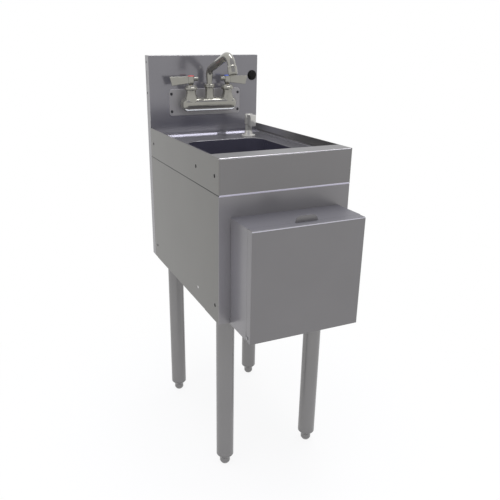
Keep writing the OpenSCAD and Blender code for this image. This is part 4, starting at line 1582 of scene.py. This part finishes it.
@dataclass
class Lamp:
    """Soft area lamp that looks at a point.

    Attributes:
        mirrored: It is seen in polished steel.
        only: Pieces that it lights, or none for all.
    """

    name: str
    place: Point
    target: Point
    size: tuple[float, float]
    power: float
    colour: Colour = (1.0, 1.0, 1.0)
    mirrored: bool = True
    only: tuple[str, ...] = ()
    shadow: bool = True

    def build(self) -> None:
        """Adds the lamp."""
        data = bpy.data.lights.new(self.name, "AREA")
        data.shape = "RECTANGLE"
        data.size, data.size_y = self.size
        data.energy = self.power
        data.color = self.colour
        data.use_shadow = self.shadow
        lamp = bpy.data.objects.new(self.name, data)
        bpy.context.scene.collection.objects.link(lamp)
        if self.only:
            lit = bpy.data.collections.new(self.name)
            for name in self.only:
                lit.objects.link(bpy.data.objects[name])
            lamp.light_linking.receiver_collection = lit
        away = Vector(self.place) - Vector(self.target)
        lamp.visible_camera = False
        lamp.visible_glossy = self.mirrored
        lamp.location = self.place
        lamp.rotation_euler = away.to_track_quat("Z", "Y").to_euler()


@dataclass
class Studio:
    """White studio: camera at the photograph's place, soft lamps, pale floor."""

    camera_at: Point = (-0.563282, -1.179099, 0.967387)
    camera_turn: Point = (69.830, 0.0, -22.943)
    lens: float = 40.49
    shift: tuple[float, float] = (0.05655, 0.00422)
    ambient: float = 0.7
    ambient_colour: Colour = (0.88, 0.89, 1.0)
    white: Colour = (1.0, 1.0, 1.0)
    floor_colour: Colour = (0.85, 0.85, 0.85)
    floor_half: float = 9000.0
    floor_z: float = -0.6
    shadow_reach: tuple[float, float] = (0.25, 0.9)
    shadow_glow: tuple[float, float] = (0.9, 1.0)
    canopy_radius: float = 5000.0
    canopy_middle: float = 500.0
    canopy_heights: tuple[float, float] = (34.0, 84.0)
    canopy_side: float = 75.0
    canopy_glow: Colour = (0.36, 0.36, 0.44)
    lamps: tuple[Lamp, ...] = (
        Lamp("pan lamp", (1.28, -2.75, 1.48), (0.0, 0.26, 0.75), (0.8, 0.28), 9.0,
             (0.92, 0.92, 1.0), True, ("sink_pan",), False),
        Lamp("splash lamp", (0.0, 0.06, 0.79), (0.0, 0.265, 0.8), (0.26, 0.05), 0.15,
             (0.66, 0.67, 1.0), False, ("backsplash", "pan_upstand"), False),
        Lamp("wall lamp", (0.07, 0.155, 0.785), (0.152, 0.155, 0.755), (0.1, 0.02), 0.11,
             (0.74, 0.74, 1.0), False, ("sink_walls",), False),
        Lamp("corner lamp", (-0.205, -0.235, 0.53), (-0.13, -0.2, 0.53), (0.03, 0.24), 0.07,
             (0.8, 0.8, 1.0), False, ("front_panel", "towel_box_door", "towel_housing"),
             False),
        Lamp("overhead lamp", (0.5, 0.5, 3.2), (0.0, 0.2, 0.7), (1.4, 0.9), 26.0),
        Lamp("chrome lamp", (0.5, 0.62, 2.3), (0.0, 0.23, 0.83), (1.3, 1.5), 27.0,
             only=("faucet_casting",)),
        Lamp("band lamp", (0.03, 0.245, 0.756), (0.03, 0.236, 0.9), (0.26, 0.045), 0.11,
             (0.8, 0.83, 1.0), only=("faucet_casting",)),
        Lamp("fill lamp", (-0.3, -0.6, 3.2), (0.0, 0.0, 0.5), (2.0, 2.0), 55.0,
             (0.92, 0.92, 1.0), False),
    )

    def camera(self) -> None:
        """Adds the camera and makes it the scene's own."""
        data = bpy.data.cameras.new("photo camera")
        data.sensor_width = 36.0
        data.lens = self.lens
        data.shift_x, data.shift_y = self.shift
        data.clip_start = 0.01
        made = bpy.data.objects.new("photo camera", data)
        made.location = self.camera_at
        made.rotation_euler = tuple(math.radians(v) for v in self.camera_turn)
        bpy.context.scene.collection.objects.link(made)
        bpy.context.scene.camera = made

    @staticmethod
    def seen(graph: Graph) -> Socket:
        """1 for camera, glossy and transmission rays, and 0 for the others."""
        ray = graph.add("ShaderNodeLightPath", {}).outputs
        return graph.math("MAXIMUM", graph.math("MAXIMUM", ray["Is Camera Ray"],
                                                ray["Is Glossy Ray"]),
                          ray["Is Transmission Ray"])

    def world(self) -> None:
        """White where it is seen, and a softer white as light."""
        world = bpy.data.worlds.new("white studio")
        bpy.context.scene.world = world
        graph = Graph(world)
        graph.tree.nodes.clear()
        light, white = (graph.add("ShaderNodeBackground", {"Strength": strength,
                                                           "Color": colour}).outputs[0]
                        for strength, colour in ((self.ambient, self.ambient_colour),
                                                 (1.0, self.white)))
        mix = graph.add("ShaderNodeMixShader", {0: self.seen(graph), 1: light, 2: white})
        graph.add("ShaderNodeOutputWorld", {0: mix.outputs[0]})

    @staticmethod
    def backdrop(name: str, points: Array) -> tuple[bpy.types.Object, Surface]:
        """Adds a sheet that stands round the sink.

        Args:
            name: Its name.
            points: Its grid.

        Returns:
            The object and its material.
        """
        mesh = bpy.data.meshes.new(name)
        mesh.from_pydata(points.reshape(-1, 3) * MM, [],
                         Skin(points, ring=False).polygons(0))
        made = bpy.data.objects.new(name, mesh)
        bpy.context.scene.collection.objects.link(made)
        surface = Surface(name)
        mesh.materials.append(surface.material)
        return made, surface

    def floor(self) -> None:
        """Pale floor that keeps a faint shadow close to the legs and is white elsewhere."""
        ends = np.array([-self.floor_half, self.floor_half])
        y, x = np.meshgrid(ends, ends, indexing="ij")
        made, surface = self.backdrop("studio_floor", joined(x, y, self.floor_z))
        surface.fill(surface.shader, {"Base Color": self.floor_colour, "Roughness": 0.9,
                                      "Specular IOR Level": 0.0})
        glow = surface.add("ShaderNodeEmission", {"Color": self.white}).outputs[0]
        far = surface.add("ShaderNodeVectorMath", {0: surface.place()}, "LENGTH")
        near = surface.remap(far.outputs["Value"], self.shadow_reach, self.shadow_glow,
                             smooth=True)
        part = surface.math("MULTIPLY", near, self.seen(surface))
        mix = surface.add("ShaderNodeMixShader", {0: part, 1: surface.shader.outputs[0],
                                                  2: glow})
        surface.fill(surface.tree.nodes["Material Output"], {"Surface": mix.outputs[0]})

    def canopy(self) -> None:
        """Grey canopy over the front, seen only in polished steel.

        Point (i, k) = middle + radius * (cos e_i sin a_k, -cos e_i cos a_k, sin e_i), with e
        the angle above the floor and a the angle to each side, in degrees.
        """
        e = np.radians(np.linspace(*self.canopy_heights, 11))[:, None]
        a = np.radians(np.linspace(-self.canopy_side, self.canopy_side, 31))[None, :]
        r = self.canopy_radius
        made, surface = self.backdrop("studio_canopy", joined(
            r * np.cos(e) * np.sin(a), -r * np.cos(e) * np.cos(a),
            self.canopy_middle + r * np.sin(e)))
        glow = surface.add("ShaderNodeEmission", {"Color": self.canopy_glow})
        surface.fill(surface.tree.nodes["Material Output"], {"Surface": glow.outputs[0]})
        made.visible_camera = False
        made.visible_diffuse = False
        made.visible_transmission = False
        made.visible_shadow = False

    def build(self) -> None:
        """Sets up camera, light, floor and canopy."""
        for make in (self.camera, self.world, self.floor, self.canopy):
            make()
        for lamp in self.lamps:
            lamp.build()
        bpy.context.scene.view_settings.view_transform = "Standard"


def main() -> None:
    """Builds the studio and the sink."""
    logging.basicConfig(level=logging.INFO, format="%(name)s %(message)s")
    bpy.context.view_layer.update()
    shop = Workshop()
    for part in (SinkTop(), Bowl(), Cabinet(), Legs(), Faucet(), SplashPlug(), SoapPump(),
                 TowelBox()):
        part.build(shop)
        log.info("%s is done", type(part).__name__)
    Studio().build()


if __name__ == "__main__":
    main()
